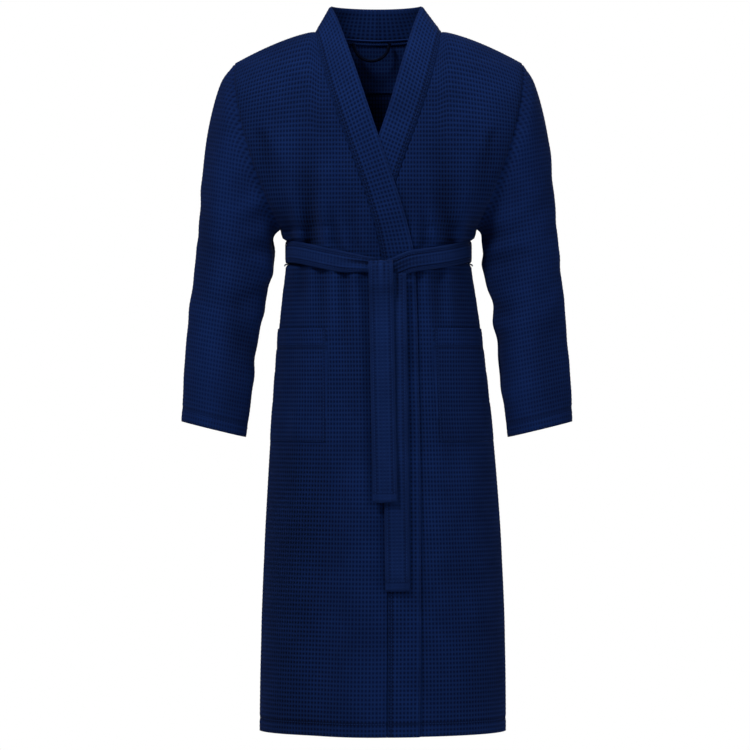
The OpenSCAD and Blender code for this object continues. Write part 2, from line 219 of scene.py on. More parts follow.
def edge_x(z):
    """Half width of the panels at a height: side seam, armhole edge, then shoulder seam."""
    z = np.asarray(z, float)
    skirt = HEM_HALF_WIDTH - (HEM_HALF_WIDTH - WAIST_HALF_WIDTH) * (np.maximum(z, 0) / WAIST_Z) ** 2
    side = mix(WAIST_HALF_WIDTH, ARMPIT_HALF_WIDTH, clamp01((z - WAIST_Z) / (ARMPIT_Z - WAIST_Z)) ** 1.5)
    armhole = SHOULDER_HALF_WIDTH - (SHOULDER_HALF_WIDTH - ARMPIT_HALF_WIDTH) * clamp01(
        (CAP_Z - z) / (CAP_Z - ARMPIT_Z)) ** 1.6
    top = mix(NECK_HALF_WIDTH, SHOULDER_HALF_WIDTH, clamp01((NECK_Z - z) / SHOULDER_DROP) ** 0.7)
    upper = np.where(z <= SHOULDER_Z, armhole, top)
    return np.where(z <= WAIST_Z, skirt, np.where(z <= ARMPIT_Z, side, upper)) - pinch(z)


def seam_z(x):
    """Height of the shoulder seam above a point across the shoulder."""
    t = clamp01((np.abs(x) - NECK_HALF_WIDTH) / (SHOULDER_HALF_WIDTH - NECK_HALF_WIDTH))
    return NECK_Z - SHOULDER_DROP * t ** (1 / 0.7)


def centre_depth(z, side=FRONT):
    """Distance of the worn surface from the middle plane, at the centre of the front or back."""
    z = np.asarray(z, float)
    hem = HEM_HALF_DEPTH + (HEM_BACK_FULLNESS if side == BACK else 0)
    skirt = hem - (hem - WAIST_HALF_DEPTH) * (np.maximum(z, 0) / WAIST_Z) ** 2
    bodice = mix(WAIST_HALF_DEPTH, CHEST_HALF_DEPTH, smooth((z - WAIST_Z) / (CHEST_Z - WAIST_Z)))
    top = mix(CHEST_HALF_DEPTH, NECK_HALF_DEPTH, clamp01((z - CHEST_Z) / (NECK_Z - CHEST_Z)) ** 1.8)
    return np.where(z <= WAIST_Z, skirt, np.where(z <= CHEST_Z, bodice, top))


def armhole_depth(z):
    """Distance of the armhole's edge from the middle plane."""
    t = (np.asarray(z, float) - ARMHOLE_MID_Z) / ARMHOLE_HALF_Z
    return ARMHOLE_HALF_DEPTH * np.sqrt(np.maximum(0, 1 - t * t))


def shift_x(z):
    """The skirt hangs a little to the wearer's left of the waist."""
    return HEM_SHIFT * clamp01(1 - z / WAIST_Z) + SKIRT_SWAY * np.sin(np.pi * clamp01(z / WAIST_Z))


# Soft folds of the worn cloth, as (x, z) at the belt, (x, z) where it dies out, width, depth
PUCKERS = {
    FRONT: [
        ((-148, 842), (-160, 915), 7, -3.4), ((-134, 842), (-150, 1020), 12, 7.0),
        ((-114, 840), (-127, 1080), 14, -13.0), ((-90, 838), (-104, 1020), 11, 7.5),
        ((-72, 836), (-96, 960), 9, -4.6), ((-55, 834), (-76, 950), 9, 3.0),
        ((-38, 832), (-56, 945), 9, -3.6), ((-22, 828), (-36, 930), 8, 2.2),
        ((152, 842), (168, 915), 7, -3.4), ((138, 842), (168, 1010), 11, 6.5),
        ((118, 840), (98, 1060), 13, -10.0), ((94, 838), (72, 1010), 10, 6.0),
        ((76, 836), (86, 960), 9, -4.2), ((60, 834), (68, 950), 9, 2.8), ((44, 830), (50, 940), 8, -3.4),
        ((-196, 1010), (-168, 880), 13, -8.0), ((190, 1010), (166, 880), 12, -7.0),
        ((-132, 798), (-140, 690), 8, -3.6), ((-116, 796), (-124, 660), 8, 3.2),
        ((-98, 794), (-104, 560), 10, -5.2), ((-78, 790), (-82, 600), 9, 4.0),
        ((-60, 788), (-62, 540), 10, -5.4), ((-40, 784), (-38, 600), 9, 4.0),
        ((60, 788), (63, 560), 9, -4.6), ((80, 790), (86, 600), 9, 4.2),
        ((100, 794), (108, 560), 10, -5.2), ((119, 796), (128, 650), 8, 3.4),
        ((136, 798), (148, 700), 8, -3.6)],
    BACK: [
        ((-140, 848), (-165, 935), 9, -4.4), ((-104, 848), (-126, 1000), 13, 5.4),
        ((-66, 848), (-84, 1040), 14, -8.0), ((-26, 848), (-30, 1000), 13, 5.0),
        ((12, 848), (14, 1040), 14, -7.4), ((52, 848), (64, 1000), 13, 5.4),
        ((94, 848), (118, 1040), 14, -8.0), ((136, 848), (160, 940), 9, 4.4),
        ((-130, 796), (-142, 640), 12, -5.0), ((-86, 796), (-96, 500), 16, 6.0),
        ((-40, 796), (-44, 420), 17, -7.4), ((6, 796), (8, 480), 17, 6.2),
        ((52, 796), (60, 410), 17, -7.6), ((98, 796), (112, 520), 15, 6.0),
        ((136, 796), (150, 640), 12, -4.8)],
}


def folds(x, z, side):
    """Height of the soft folds above the smooth worn surface."""
    out = 1.3 * soft_noise(x, z * 0.55, 150, 5 if side == FRONT else 6) * smooth((1150 - z) / 200)
    for (xa, za), (xb, zb), width, depth in PUCKERS[side]:
        t = (z - za) / (zb - za)
        across = (x - mix(xa, xb, t)) / (width * mix(0.8, 1.9, clamp01(t)))
        fade = np.where(t < 0, np.exp(-((z - za) / 14.0) ** 2), (1 - smooth(t)))
        out = out + depth * fade * np.exp(-across**2)
    hang = smooth((WAIST_Z - 60 - z) / 420)
    flute = np.sin(x / 63.0 + (0.6 if side == FRONT else 1.9)) + 0.6 * np.sin(x / 37.0 + 2.1 + z / 900.0)
    return out + FLUTE_DEPTH[side] * hang * flute


def worn_at(x, z, side):
    """A point of the worn surface from its distance across and its height."""
    e = edge_x(z)
    c = np.sqrt(np.maximum(0, 1 - (x / e) ** 2))
    d = armhole_depth(z)
    y = d + (centre_depth(z, side) - d) * c + folds(x, z, side) * smooth(c / 0.35)
    return xyz(x + shift_x(z), side * y, z) + settled(x, z, side)


DRAPED = {}               # filled by the cloth simulation, a table of movements for each side


def settled(x, z, side):
    """How far the simulated cloth has moved a point of the worn surface."""
    if side not in DRAPED:
        return np.zeros(np.broadcast(x, z).shape + (3,))
    table = DRAPED[side]
    rows, columns = table.shape[:2]
    turn = np.arcsin(np.clip(x / edge_x(z), -1, 1))
    c = np.clip((turn / np.pi + 0.5) * (columns - 1), 0, columns - 1.001)
    r = np.clip(z / DRAPE_TOP * (rows - 1), 0, rows - 1.001)
    c0, r0 = np.floor(c).astype(int), np.floor(r).astype(int)
    fc, fr = (c - c0)[..., None], (r - r0)[..., None]
    fc, fr = fc * fc * (3 - 2 * fc), fr * fr * (3 - 2 * fr)
    low = table[r0, c0] * (1 - fc) + table[r0, c0 + 1] * fc
    high = table[r0 + 1, c0] * (1 - fc) + table[r0 + 1, c0 + 1] * fc
    return low * (1 - fr) + high * fr


def lift_of(side, x, z):
    """The upper front lies over the under front from the centre of the body to its own edge."""
    if side == LEFT:
        return -UNDER_SINK * smooth(-x / 20) * (1 - smooth((z - 940) / 80))
    return UPPER_LIFT * smooth((x + 130) / 50) * (1 - smooth((z - 1040) / 100))


# ---------------------------------------------------------------- the weave's lattice on the body
def column_pitch(z):
    """The columns draw together where the belt gathers the cloth."""
    return 1 - GATHER * smooth(z / GATHERED_Z)


def lattice_vertex_height(i, k):
    """Height of the weave at lattice vertex (i, k): ridges cross on even-even, cells sink on odd-odd."""
    odd_i, odd_k = np.mod(i, 2) == 1, np.mod(k, 2) == 1
    return np.where(odd_i & odd_k, PIT, np.where(odd_i | odd_k, RIDGE_MID, RIDGE))


def zip_lines(a_pos, a_idx, b_pos, b_idx):
    """Triangles between two rows of vertices whose places along the rows differ."""
    tris = []
    i = j = 0
    while i < len(a_idx) - 1 or j < len(b_idx) - 1:
        if i == len(a_idx) - 1:
            step_b = True
        elif j == len(b_idx) - 1:
            step_b = False
        else:
            step_b = abs(b_pos[j + 1] - a_pos[i]) < abs(a_pos[i + 1] - b_pos[j])
        if step_b:
            tris.append((a_idx[i], b_idx[j + 1], b_idx[j]))
            j += 1
        else:
            tris.append((a_idx[i], a_idx[i + 1], b_idx[j]))
            i += 1
    return np.array(tris)


class Lattice:
    """A sheet of waffle cloth cut to shape: lines of vertices, each line clipped at its own two ends.

    Line i holds the lattice vertices k with start < k < end, in units of half a cell, and one vertex
    exactly at each end. Triangles follow the weave, so that every cell is a small pyramid.
    """

    def __init__(self, starts, ends, line_ids=None):
        self.starts = np.asarray(starts, float)
        self.ends = np.asarray(ends, float)
        self.n = len(self.starts)
        self.line_ids = np.arange(self.n) if line_ids is None else np.asarray(line_ids)
        self.low = np.floor(self.starts + 0.45).astype(int) + 1
        self.high = np.ceil(self.ends - 0.45).astype(int) - 1
        self.k_of = [np.concatenate([[start], np.arange(low, high + 1), [end]])
                     for start, end, low, high in zip(self.starts, self.ends, self.low, self.high)]
        self.count = np.array([len(ks) for ks in self.k_of])
        self.first = np.cumsum(self.count) - self.count
        self.size = int(self.count.sum())
        self.lines = np.repeat(np.arange(self.n), self.count)
        self.ks = np.concatenate(self.k_of)
        self.is_inner = np.ones(self.size, bool)
        self.is_inner[self.first] = False
        self.is_inner[self.first + self.count - 1] = False
        self.tris = self._triangles()
        last_line = self.first[-1] + np.arange(self.count[-1])
        self.loop = np.concatenate([np.arange(self.count[0])[:-1], (self.first + self.count - 1)[:-1],
                                    last_line[::-1][:-1], self.first[::-1][:-1]])

    def _triangles(self):
        out = []
        for i in range(self.n - 1):
            low = max(self.low[i], self.low[i + 1])
            high = min(self.high[i], self.high[i + 1])
            ka, kb = self.k_of[i], self.k_of[i + 1]
            ia = self.first[i] + np.arange(self.count[i])
            ib = self.first[i + 1] + np.arange(self.count[i + 1])
            if high <= low:
                out.append(zip_lines(ka, ia, kb, ib))
                continue
            a0, b0 = 1 + low - self.low[i], 1 + low - self.low[i + 1]
            a1, b1 = 1 + high - self.low[i], 1 + high - self.low[i + 1]
            out.append(zip_lines(ka[:a0 + 1], ia[:a0 + 1], kb[:b0 + 1], ib[:b0 + 1]))
            out.append(zip_lines(ka[a1:], ia[a1:], kb[b1:], ib[b1:]))
            p, q = ia[a0:a1], ia[a0 + 1:a1 + 1]
            r, s = ib[b0:b1], ib[b0 + 1:b1 + 1]
            even = (np.mod(np.arange(low, high) + self.line_ids[i], 2) == 0)[:, None]
            out.append(np.where(even, np.stack([p, q, s], 1), np.stack([p, q, r], 1)))
            out.append(np.where(even, np.stack([p, s, r], 1), np.stack([q, s, r], 1)))
        return np.concatenate(out)

    def flip(self):
        """Turn the sheet's outer face to the other side."""
        self.tris, self.loop = self.tris[:, ::-1], self.loop[::-1]

    def line(self, n):
        return slice(self.first[n], self.first[n] + self.count[n])

    def height(self, edge_value=0.1):
        return np.where(self.is_inner, lattice_vertex_height(self.line_ids[self.lines], self.ks), edge_value)

    def end_distances(self, step):
        """Distance of each vertex along its line from the line's start and from its end."""
        return (self.ks - self.starts[self.lines]) * step, (self.ends[self.lines] - self.ks) * step


def vertex_normals(points, tris):
    face = np.cross(points[tris[:, 1]] - points[tris[:, 0]], points[tris[:, 2]] - points[tris[:, 0]])
    out = np.zeros_like(points)
    for c in range(3):
        for axis in range(3):
            out[:, axis] += np.bincount(tris[:, c], face[:, axis], len(points))
    return unit(out)


def make_mesh(name, points, tris, material, uv, relief):
    """A smooth mesh in metres, with the cloth's own coordinates and its relief kept for the material, which
    paints shade and light from it.
    """
    mesh = bpy.data.meshes.new(name)
    tris = np.asarray(tris, np.int32)
    mesh.vertices.add(len(points))
    mesh.vertices.foreach_set("co", (points * MM).astype(np.float32).ravel())
    mesh.loops.add(tris.size)
    mesh.loops.foreach_set("vertex_index", tris.ravel())
    mesh.polygons.add(len(tris))
    mesh.polygons.foreach_set("loop_start", np.arange(0, tris.size, 3, dtype=np.int32))
    mesh.polygons.foreach_set("loop_total", np.full(len(tris), 3, np.int32))
    mesh.update(calc_edges=True)
    mesh.polygons.foreach_set("use_smooth", np.ones(len(tris), bool))
    layer = mesh.uv_layers.new(name="cloth")
    layer.data.foreach_set("uv", (uv * MM)[tris.ravel()].astype(np.float32).ravel())
    attribute = mesh.attributes.new("relief", "FLOAT", "POINT")
    attribute.data.foreach_set("value", relief.astype(np.float32))
    mesh.validate()
    mesh.materials.append(material)
    PIECES[name] = add_object(name, mesh)


def sheet(name, lattice, base, outer, inner, material, uv, relief, inner_relief, mirrored=False, face=None):
    """A closed piece of cloth: two faces at heights over a base, and the rim between them."""
    n = len(base)
    normal = vertex_normals(base, lattice.tris) if face is None else face
    points = np.concatenate([base + normal * outer[:, None], base + normal * inner[:, None]])
    loop, following = lattice.loop, np.roll(lattice.loop, -1)
    rim = [np.stack([loop, loop + n, following + n], 1), np.stack([loop, following + n, following], 1)]
    faces = np.concatenate([lattice.tris, lattice.tris[:, ::-1] + n, *rim])
    if mirrored:
        points, faces = points * MIRROR, faces[:, ::-1]
    uv = np.stack(uv, -1)
    make_mesh(name, points, faces, material, np.concatenate([uv, uv]), np.concatenate([relief, inner_relief]))


def edge_roll(distance, width=4.0):
    """How far the cloth has come up from its sewn edge, from 0 on the edge to 1 inside it."""
    return np.sqrt(np.clip(1 - (1 - clamp01(distance / width)) ** 2, 0, 1))


def groove(distance, width=1.6):
    return np.exp(-(distance / width) ** 2)


# ---------------------------------------------------------------- materials
LINT_RANGE = {"From Min": 0.3, "From Max": 0.7}    # most of a noise texture lies between these


def srgb(r, g, b):
    def channel(c):
        c = c / 255.0
        return c / 12.92 if c <= 0.04045 else ((c + 0.055) / 1.055) ** 2.4
    return (channel(r), channel(g), channel(b), 1.0)


def shader_of(owner):
    """The node maker of a material or a world, whose node tree it empties first."""
    owner.use_nodes = True
    tree = owner.node_tree
    tree.nodes.clear()

    def node(kind, inputs=None, **settings):
        """Adds a node; its inputs are plain values or outputs of other nodes. Returns its outputs."""
        made = tree.nodes.new("ShaderNode" + kind)
        for key, value in settings.items():
            setattr(made, key, value)
        for socket, value in (inputs or {}).items():
            if isinstance(value, bpy.types.NodeSocket):
                tree.links.new(value, made.inputs[socket])
            else:
                made.inputs[socket].default_value = value
        return made.outputs
    return node


def cloth_material(name, low, high, thread=0.62):
    """Cotton: painted shade in the pits of the weave and painted light on its ridges, with fine threads and
    uneven dye.
    """
    material = bpy.data.materials.new(name)
    node = shader_of(material)
    relief = node("Attribute", attribute_name="relief")["Fac"]
    # painted shade and light: the relief blends from the low colour, painted shade for the pits, to the high
    # colour, painted light for the ridges
    level = node("MapRange", {"Value": relief, "From Min": PIT, "From Max": RIDGE})[0]
    colour = node("Mix", {0: level, 6: low, 7: high}, data_type="RGBA")[2]
    # cloudy unevenness of the dye, and lint
    place = node("TexCoord")["Object"]
    cloth = node("UVMap", uv_map="cloth")[0]
    cloud = node("TexNoise", {"Vector": place, "Scale": 14.0, "Detail": 4.0})["Fac"]
    lint = node("TexNoise", {"Vector": cloth, "Scale": 900.0, "Detail": 2.0})["Fac"]
    shade = node("MapRange", {"Value": cloud, "To Min": 0.86, "To Max": 1.14, **LINT_RANGE})[0]
    fleck = node("MapRange", {"Value": lint, "To Min": 0.8, "To Max": 1.2, **LINT_RANGE})[0]
    both = node("Math", {0: shade, 1: fleck}, operation="MULTIPLY")[0]
    tinted = node("VectorMath", {0: colour, "Scale": both}, operation="SCALE")[0]
    # threads running both ways
    axes = node("SeparateXYZ", {0: cloth})
    waves = []
    for axis in ("X", "Y"):
        phase = node("Math", {0: axes[axis], 1: 2 * math.pi / (thread * MM)}, operation="MULTIPLY")[0]
        waves.append(node("Math", {0: phase}, operation="SINE")[0])
    crossing = node("Math", {0: waves[0], 1: waves[1]}, operation="MULTIPLY")[0]
    threads = node("Math", {0: crossing, 1: lint}, operation="ADD")[0]
    bump = node("Bump", {"Strength": 0.35, "Distance": 0.0004, "Height": threads})[0]
    rough = node("MapRange", {"Value": lint, "To Min": 0.84, "To Max": 1.0})[0]
    cotton = node("BsdfPrincipled", {
        "Base Color": tinted, "Normal": bump, "Roughness": rough, "Specular IOR Level": 0.05,
        "Sheen Weight": 0.03, "Sheen Roughness": 0.5, "Sheen Tint": (0.35, 0.45, 1.0, 1.0)})[0]
    node("OutputMaterial", {0: cotton})
    return material


# In the waffle copies the first colour is the painted shade of the pits and the second the painted light on
# the ridges; the sleeve and belt copies paint their pits less dark
NAVY = cloth_material("navy_waffle", srgb(3, 9, 26), srgb(19, 43, 97))
SLEEVE = cloth_material("navy_waffle_sleeve", srgb(8, 20, 50), srgb(19, 43, 98))
TRIM = cloth_material("navy_waffle_trim", srgb(3, 9, 26), srgb(20, 45, 101))
# painted light: this copy is lighter to brighten the facing where it lies in shade inside the neck
FACING_PAINTED_LIGHT = cloth_material("navy_waffle_facing_painted_light", srgb(11, 20, 50), srgb(30, 58, 122))
BELT = cloth_material("navy_waffle_belt", srgb(8, 21, 52), srgb(22, 46, 100))
CORD = cloth_material("navy_cord", srgb(3, 8, 22), srgb(7, 15, 40), thread=1.1)
THREAD = cloth_material("navy_thread", srgb(16, 36, 84), srgb(24, 50, 108), thread=0.4)


# ---------------------------------------------------------------- cloth simulation of the body
DRAPE_TOP = 1090.0
DRAPE_ROWS = 68
DRAPE_COLUMNS = 52
DRAPE_FRAMES = 48
DRAPE_LIMIT = 10.0        # furthest that a point may settle away from the worn surface
FORM_INSET = 9.0          # the unseen form lies this far inside the worn surface
CLOTH_SETTINGS = {
    "quality": 5, "mass": 0.25, "tension_stiffness": 30, "compression_stiffness": 30, "shear_stiffness": 6,
    "bending_stiffness": 3.0, "air_damping": 2.0, "vertex_group_mass": "held", "pin_stiffness": 1.0}


def fullness(z):
    """Extra width of the cut cloth, which the belt gathers."""
    return 0.03 + 0.14 * np.exp(-((z - BELT_SIDE_Z) / 120.0) ** 2)


def held_weight(turn, z):
    """How firmly the cloth is held: at the yoke, by the belt, round the armholes and near the side seams."""
    hold = smooth((z - 1000) / 80)
    hold = np.maximum(hold, 1 - smooth((np.abs(z - BELT_SIDE_Z + 8) - 14) / 12))
    hold = np.maximum(hold, np.where((np.abs(turn) > 1.5) & (z >= ARMPIT_Z - 12), 1.0, 0.0))
    hold = np.maximum(hold, 0.25 * (1 - smooth((1.57 - np.abs(turn)) / 0.25)))
    return np.tile(hold.ravel(), 2)


def grid_quads(g):
    return np.stack([g[:-1, :-1], g[:-1, 1:], g[1:, 1:], g[1:, :-1]], -1).reshape(-1, 4)


def run_cloth(points, wide, faces, hold):
    """Where the cloth comes to rest, in metres: cut to the wide points, hung from the held ones."""
    mesh = plain_mesh("drape", (points * MM).tolist(), faces)
    cloth = add_object("drape", mesh)
    group = cloth.vertex_groups.new(name="held")
    for i, weight in enumerate(hold):
        if weight > 0.01:
            group.add([i], float(weight), "REPLACE")
    cloth.shape_key_add(name="Basis")
    cut = cloth.shape_key_add(name="cut")
    cut.data.foreach_set("co", (wide * MM).astype(np.float32).ravel())
    cut.value = 0

    centre = xyz(shift_x(points[:, 2]), 0, points[:, 2])
    spread = points - centre
    inset = 1 - FORM_INSET / np.maximum(np.linalg.norm(spread, axis=1, keepdims=True), 30)
    form_mesh = plain_mesh("form", ((centre + spread * inset) * MM).tolist(), faces)
    form = add_object("form", form_mesh)
    form.modifiers.new("collision", "COLLISION")
    form.collision.thickness_outer = 0.003
    form.collision.cloth_friction = 2.0

    m = cloth.modifiers.new("cloth", "CLOTH")
    for key, value in CLOTH_SETTINGS.items():
        setattr(m.settings, key, value)
    m.settings.rest_shape_key = cut
    m.collision_settings.distance_min = 0.004
    m.collision_settings.collision_quality = 2
    m.point_cache.frame_start = 1
    m.point_cache.frame_end = DRAPE_FRAMES
    for frame_number in range(1, DRAPE_FRAMES + 1):
        bpy.context.scene.frame_set(frame_number)
    rested = cloth.evaluated_get(bpy.context.evaluated_depsgraph_get()).data
    final = np.empty(len(points) * 3, np.float32)
    rested.vertices.foreach_get("co", final)
    bpy.context.scene.frame_set(1)
    for obj, data in ((cloth, mesh), (form, form_mesh)):
        bpy.data.objects.remove(obj)
        bpy.data.meshes.remove(data)
    return final.reshape(-1, 3)


def drape_body():
    """Settle the cloth of the body over an unseen form and fill the tables of its movements."""
    turns = np.radians(np.linspace(-90, 90, DRAPE_COLUMNS + 1))
    heights = np.linspace(0, DRAPE_TOP, DRAPE_ROWS + 1)
    turn, z = np.meshgrid(turns, heights)
    x = edge_x(z) * np.sin(turn)
    points = np.concatenate([worn_at(x, z, side).reshape(-1, 3) for side in (FRONT, BACK)])
    wide = points.copy()
    wide[:, :2] *= 1 + fullness(points[:, 2:3])
    # the side seams are sewn below the armholes
    front_ids = np.arange(x.size).reshape(x.shape)
    back_ids = front_ids + x.size
    sewn = heights < ARMPIT_Z
    for seam in (0, -1):
        back_ids[sewn, seam] = front_ids[sewn, seam]
    faces = np.concatenate([grid_quads(front_ids), grid_quads(back_ids)[:, ::-1]])
    used, compact = np.unique(faces, return_inverse=True)
    faces = compact.reshape(-1, 4).tolist()
    rested = run_cloth(points[used], wide[used], faces, held_weight(turn, z)[used])

    moved = rested / MM - points[used]
    length = np.linalg.norm(moved, axis=1, keepdims=True)
    moved *= DRAPE_LIMIT * np.tanh(length / DRAPE_LIMIT) / np.maximum(length, 1e-6)
    everywhere = np.zeros((2 * x.size, 3))
    everywhere[used] = moved
    for side, ids in ((FRONT, front_ids), (BACK, back_ids)):
        table = everywhere[ids.ravel()].reshape(*x.shape, 3)
        table[..., 2] *= 0.35 * smooth(z / 200)
        table *= (1 - smooth((z - DRAPE_TOP + 60) / 60))[..., None]
        table = smooth_path(table, 1)
        DRAPED[side] = smooth_path(table.swapaxes(0, 1), 1).swapaxes(0, 1)


drape_body()


# ---------------------------------------------------------------- body panels
ROWS = int(round(NECK_Z / HALF_TALL / 2)) * 2
ROW_STEP = NECK_Z / ROWS
SLOPE_FROM_Z = 1000.0     # above here the rows of the weave tilt towards the shoulder seam
SHOULDER_ROUND = 42.0     # length of cloth that turns over the top of the shoulder
SEAM_DRIFT = 3.0          # the band seam moves in this far from the hem to the waist
HEM_DEPTH = 22.0
FACE_OUT = 1.5            # the cloth's outer face stands this far off the worn surface
FACE_IN = -0.5
FOLD_SHADE = 0.05         # how much a millimetre of fold lightens or darkens the cloth


def top_z(x, side):
    neck = NECK_Z if side == FRONT else mix(BACK_NECK_Z, NECK_Z, (x / NECK_HALF_WIDTH) ** 2)
    return np.where(np.abs(x) < NECK_HALF_WIDTH, neck, seam_z(x))


def row_z(t, x, side):
    """Height of weave row t (its height at the centre) at a distance across the body."""
    rise = top_z(x, side) - SLOPE_FROM_Z
    up = clamp01((t - SLOPE_FROM_Z) / (NECK_Z - SLOPE_FROM_Z))
    start = 1 - SHOULDER_ROUND / (NECK_Z - SLOPE_FROM_Z)
    pace = 2 / (1 + start)
    rounded = np.where(up < start, pace * up, 1 - pace * (1 - up) ** 2 / (2 * (1 - start)))
    up = mix(up, rounded, smooth((np.abs(x) - NECK_HALF_WIDTH + 10) / 24))
    return np.where(t <= SLOPE_FROM_Z, t, SLOPE_FROM_Z + up * rise)


def neckline_x(t):
    """Band seam of the wearer's right front from the waist (t 0) to the shoulder seam (t 1)."""
    return mix(BAND_SEAM_X - SEAM_DRIFT, -NECK_HALF_WIDTH, (t + (1 - np.cos(np.pi * t)) / 2) / 2)


def band_seam(z):
    """Distance of the upper front's band seam from the centre, towards the wearer's left."""
    above = neckline_x(clamp01((z - WAIST_Z) / (NECK_Z - WAIST_Z)))
    return np.where(z <= WAIST_Z, BAND_SEAM_X - SEAM_DRIFT * (np.maximum(z, 0) / WAIST_Z) ** 4, above)


def cloth_at(x, z, side, front=None):
    """A point of a panel of the body, with the lift of the front that it belongs to."""
    p = worn_at(x, z, side)
    if front is not None:
        p[..., 1] -= lift_of(front, x, z)
    return p


class Rows:
    """The weave rows of the front or back of the body: where each lattice position k of a row lies."""

    def __init__(self, side):
        self.side = side
        self.t = np.arange(ROWS + 1) * ROW_STEP
        turns = np.sin(np.radians(np.linspace(-90, 90, 541)))
        self.x, self.z, self.k = [], [], []
        for t in self.t:
            end = SHOULDER_HALF_WIDTH
            for _ in range(8):
                end = float(edge_x(row_z(t, end, side)))
            x = end * turns
            z = row_z(t, x, side)
            d = armhole_depth(z)
            y = d + (centre_depth(z, side) - d) * np.sqrt(np.maximum(0, 1 - (x / edge_x(z)) ** 2))
            s = arc_length(xyz(x, y, z))
            s -= np.interp(0.0, x, s)
            self.x.append(x)
            self.z.append(z)
            self.k.append(s / (HALF_WIDE * column_pitch(t)))

    def k_at(self, i, x):
        return np.interp(x, self.x[i], self.k[i])

    def k_where(self, i, values):
        """Lattice position at which a quantity along row i first rises through zero."""
        up = np.nonzero((values[:-1] <= 0) & (values[1:] > 0))[0]
        if len(up) == 0:
            return self.k[i][-1]
        j = up[0]
        f = values[j] / (values[j] - values[j + 1])
        return mix(self.k[i][j], self.k[i][j + 1], f)

    def place(self, lattice, rows):
        """x and z of each vertex of a lattice whose lines are the given rows."""
        x, z = np.zeros(lattice.size), np.zeros(lattice.size)
        for n, i in enumerate(rows):
            part = lattice.line(n)
            x[part] = np.interp(lattice.ks[part], self.k[i], self.x[i])
            z[part] = row_z(self.t[i], x[part], self.side)
        return x, z


ROWS_OF = {FRONT: Rows(FRONT), BACK: Rows(BACK)}


def hemmed(h, distance, depth):
    """A turned-up hem: the weave is flatter at its line of stitches and a little fuller below them."""
    # as relief this also paints shade along the stitch line and a little light on the hem below it
    line = groove(distance - depth, 2.6)
    return h * (1 - 0.6 * line) - 0.5 * line + 0.08 * (1 - smooth((distance - depth + 4) / 3))


def body_panel(name, side, front=None):
    """A panel of the body: the back, or the wearer's right or left front."""
    rows = ROWS_OF[side]
    ids = np.arange(ROWS + 1)
    starts = [ks[0] for ks in rows.k]
    ends = [ks[-1] for ks in rows.k]
    if front == RIGHT:
        ends = [rows.k_where(i, rows.x[i] - band_seam(rows.z[i])) for i in ids]
    if front == LEFT:
        starts = [rows.k_where(i, rows.x[i] + band_seam(rows.z[i])) for i in ids]
    lattice = Lattice(starts, ends)
    if side == BACK:
        lattice.flip()
    x, z = rows.place(lattice, ids)
    t = rows.t[lattice.lines]
    sewn = np.minimum(*lattice.end_distances(HALF_WIDE * 0.9))
    sewn = np.where(np.abs(x) > NECK_HALF_WIDTH - 2, np.minimum(sewn, (NECK_Z - t) * 0.8), sewn)
    if side == BACK:
        sewn = np.minimum(sewn, NECK_Z - t)
    roll = edge_roll(sewn, 5.0)
    h = hemmed(lattice.height(), t, HEM_DEPTH)
    outer = mix(-1.2, FACE_OUT, roll) + h * mix(0.25, 1, roll)
    inner = FACE_IN - 0.4 * h * roll - 1.6 * (1 - roll)
    # painted shade in the valleys of the folds and painted light on their crests, added to the weave's relief
    # for the material
    shade = FOLD_SHADE * np.clip(folds(x, z, side), -14, 10)
    sheet(name, lattice, cloth_at(x, z, side, front), outer, inner, NAVY,
          (lattice.ks * HALF_WIDE, t), h + shade, -h)


# ---------------------------------------------------------------- front bands and collar
BAND_COLUMNS = 18
BAND_HALF_THICK = 1.9
BAND_STAND = 2.0          # the middle of the band lies this far off the front that it is sewn to
BAND_LOWER = 240          # points of a band's edges below the waist, and from there to the shoulder
BAND_UPPER = 160
SEAM_LAP = 1.2            # how far a sewn-on piece covers its neighbour's edge
COLLAR_FADE_FROM = 1080.0
COLLAR_LEAN = 8.0         # the collar leans in a little further on the wearer's left


def front_at(front, x, z):
    """A point on the outside of one front, x counted as on the wearer's right front."""
    return cloth_at(-front * x, z, FRONT, front)


def neck_rib(front, t):
    """Seam point and free point of the band between the waist (t 0) and the shoulder seam (t 1)."""
    seam = front_at(front, neckline_x(t) - SEAM_LAP, np.minimum(mix(WAIST_Z, NECK_Z, t), NECK_Z - 0.1))
    z_free = mix(WAIST_Z, COLLAR_TOP_Z, t)
    x_free = mix(BAND_SEAM_X - SEAM_DRIFT + BAND_WIDTH, -COLLAR_TOP_HALF_WIDTH, t**1.3)
    free = front_at(front, x_free - 6.6 * np.sin(np.pi * t) ** 2, np.minimum(z_free, NECK_Z - 2))
    stand = clamp01((z_free - COLLAR_FADE_FROM) / (COLLAR_TOP_Z - COLLAR_FADE_FROM))
    free[..., 1] *= np.sqrt(np.maximum(0, 1 - stand**2))
    free[..., 2] = z_free
    if front == LEFT:
        free[..., 0] -= COLLAR_LEAN * stand
    return seam, free


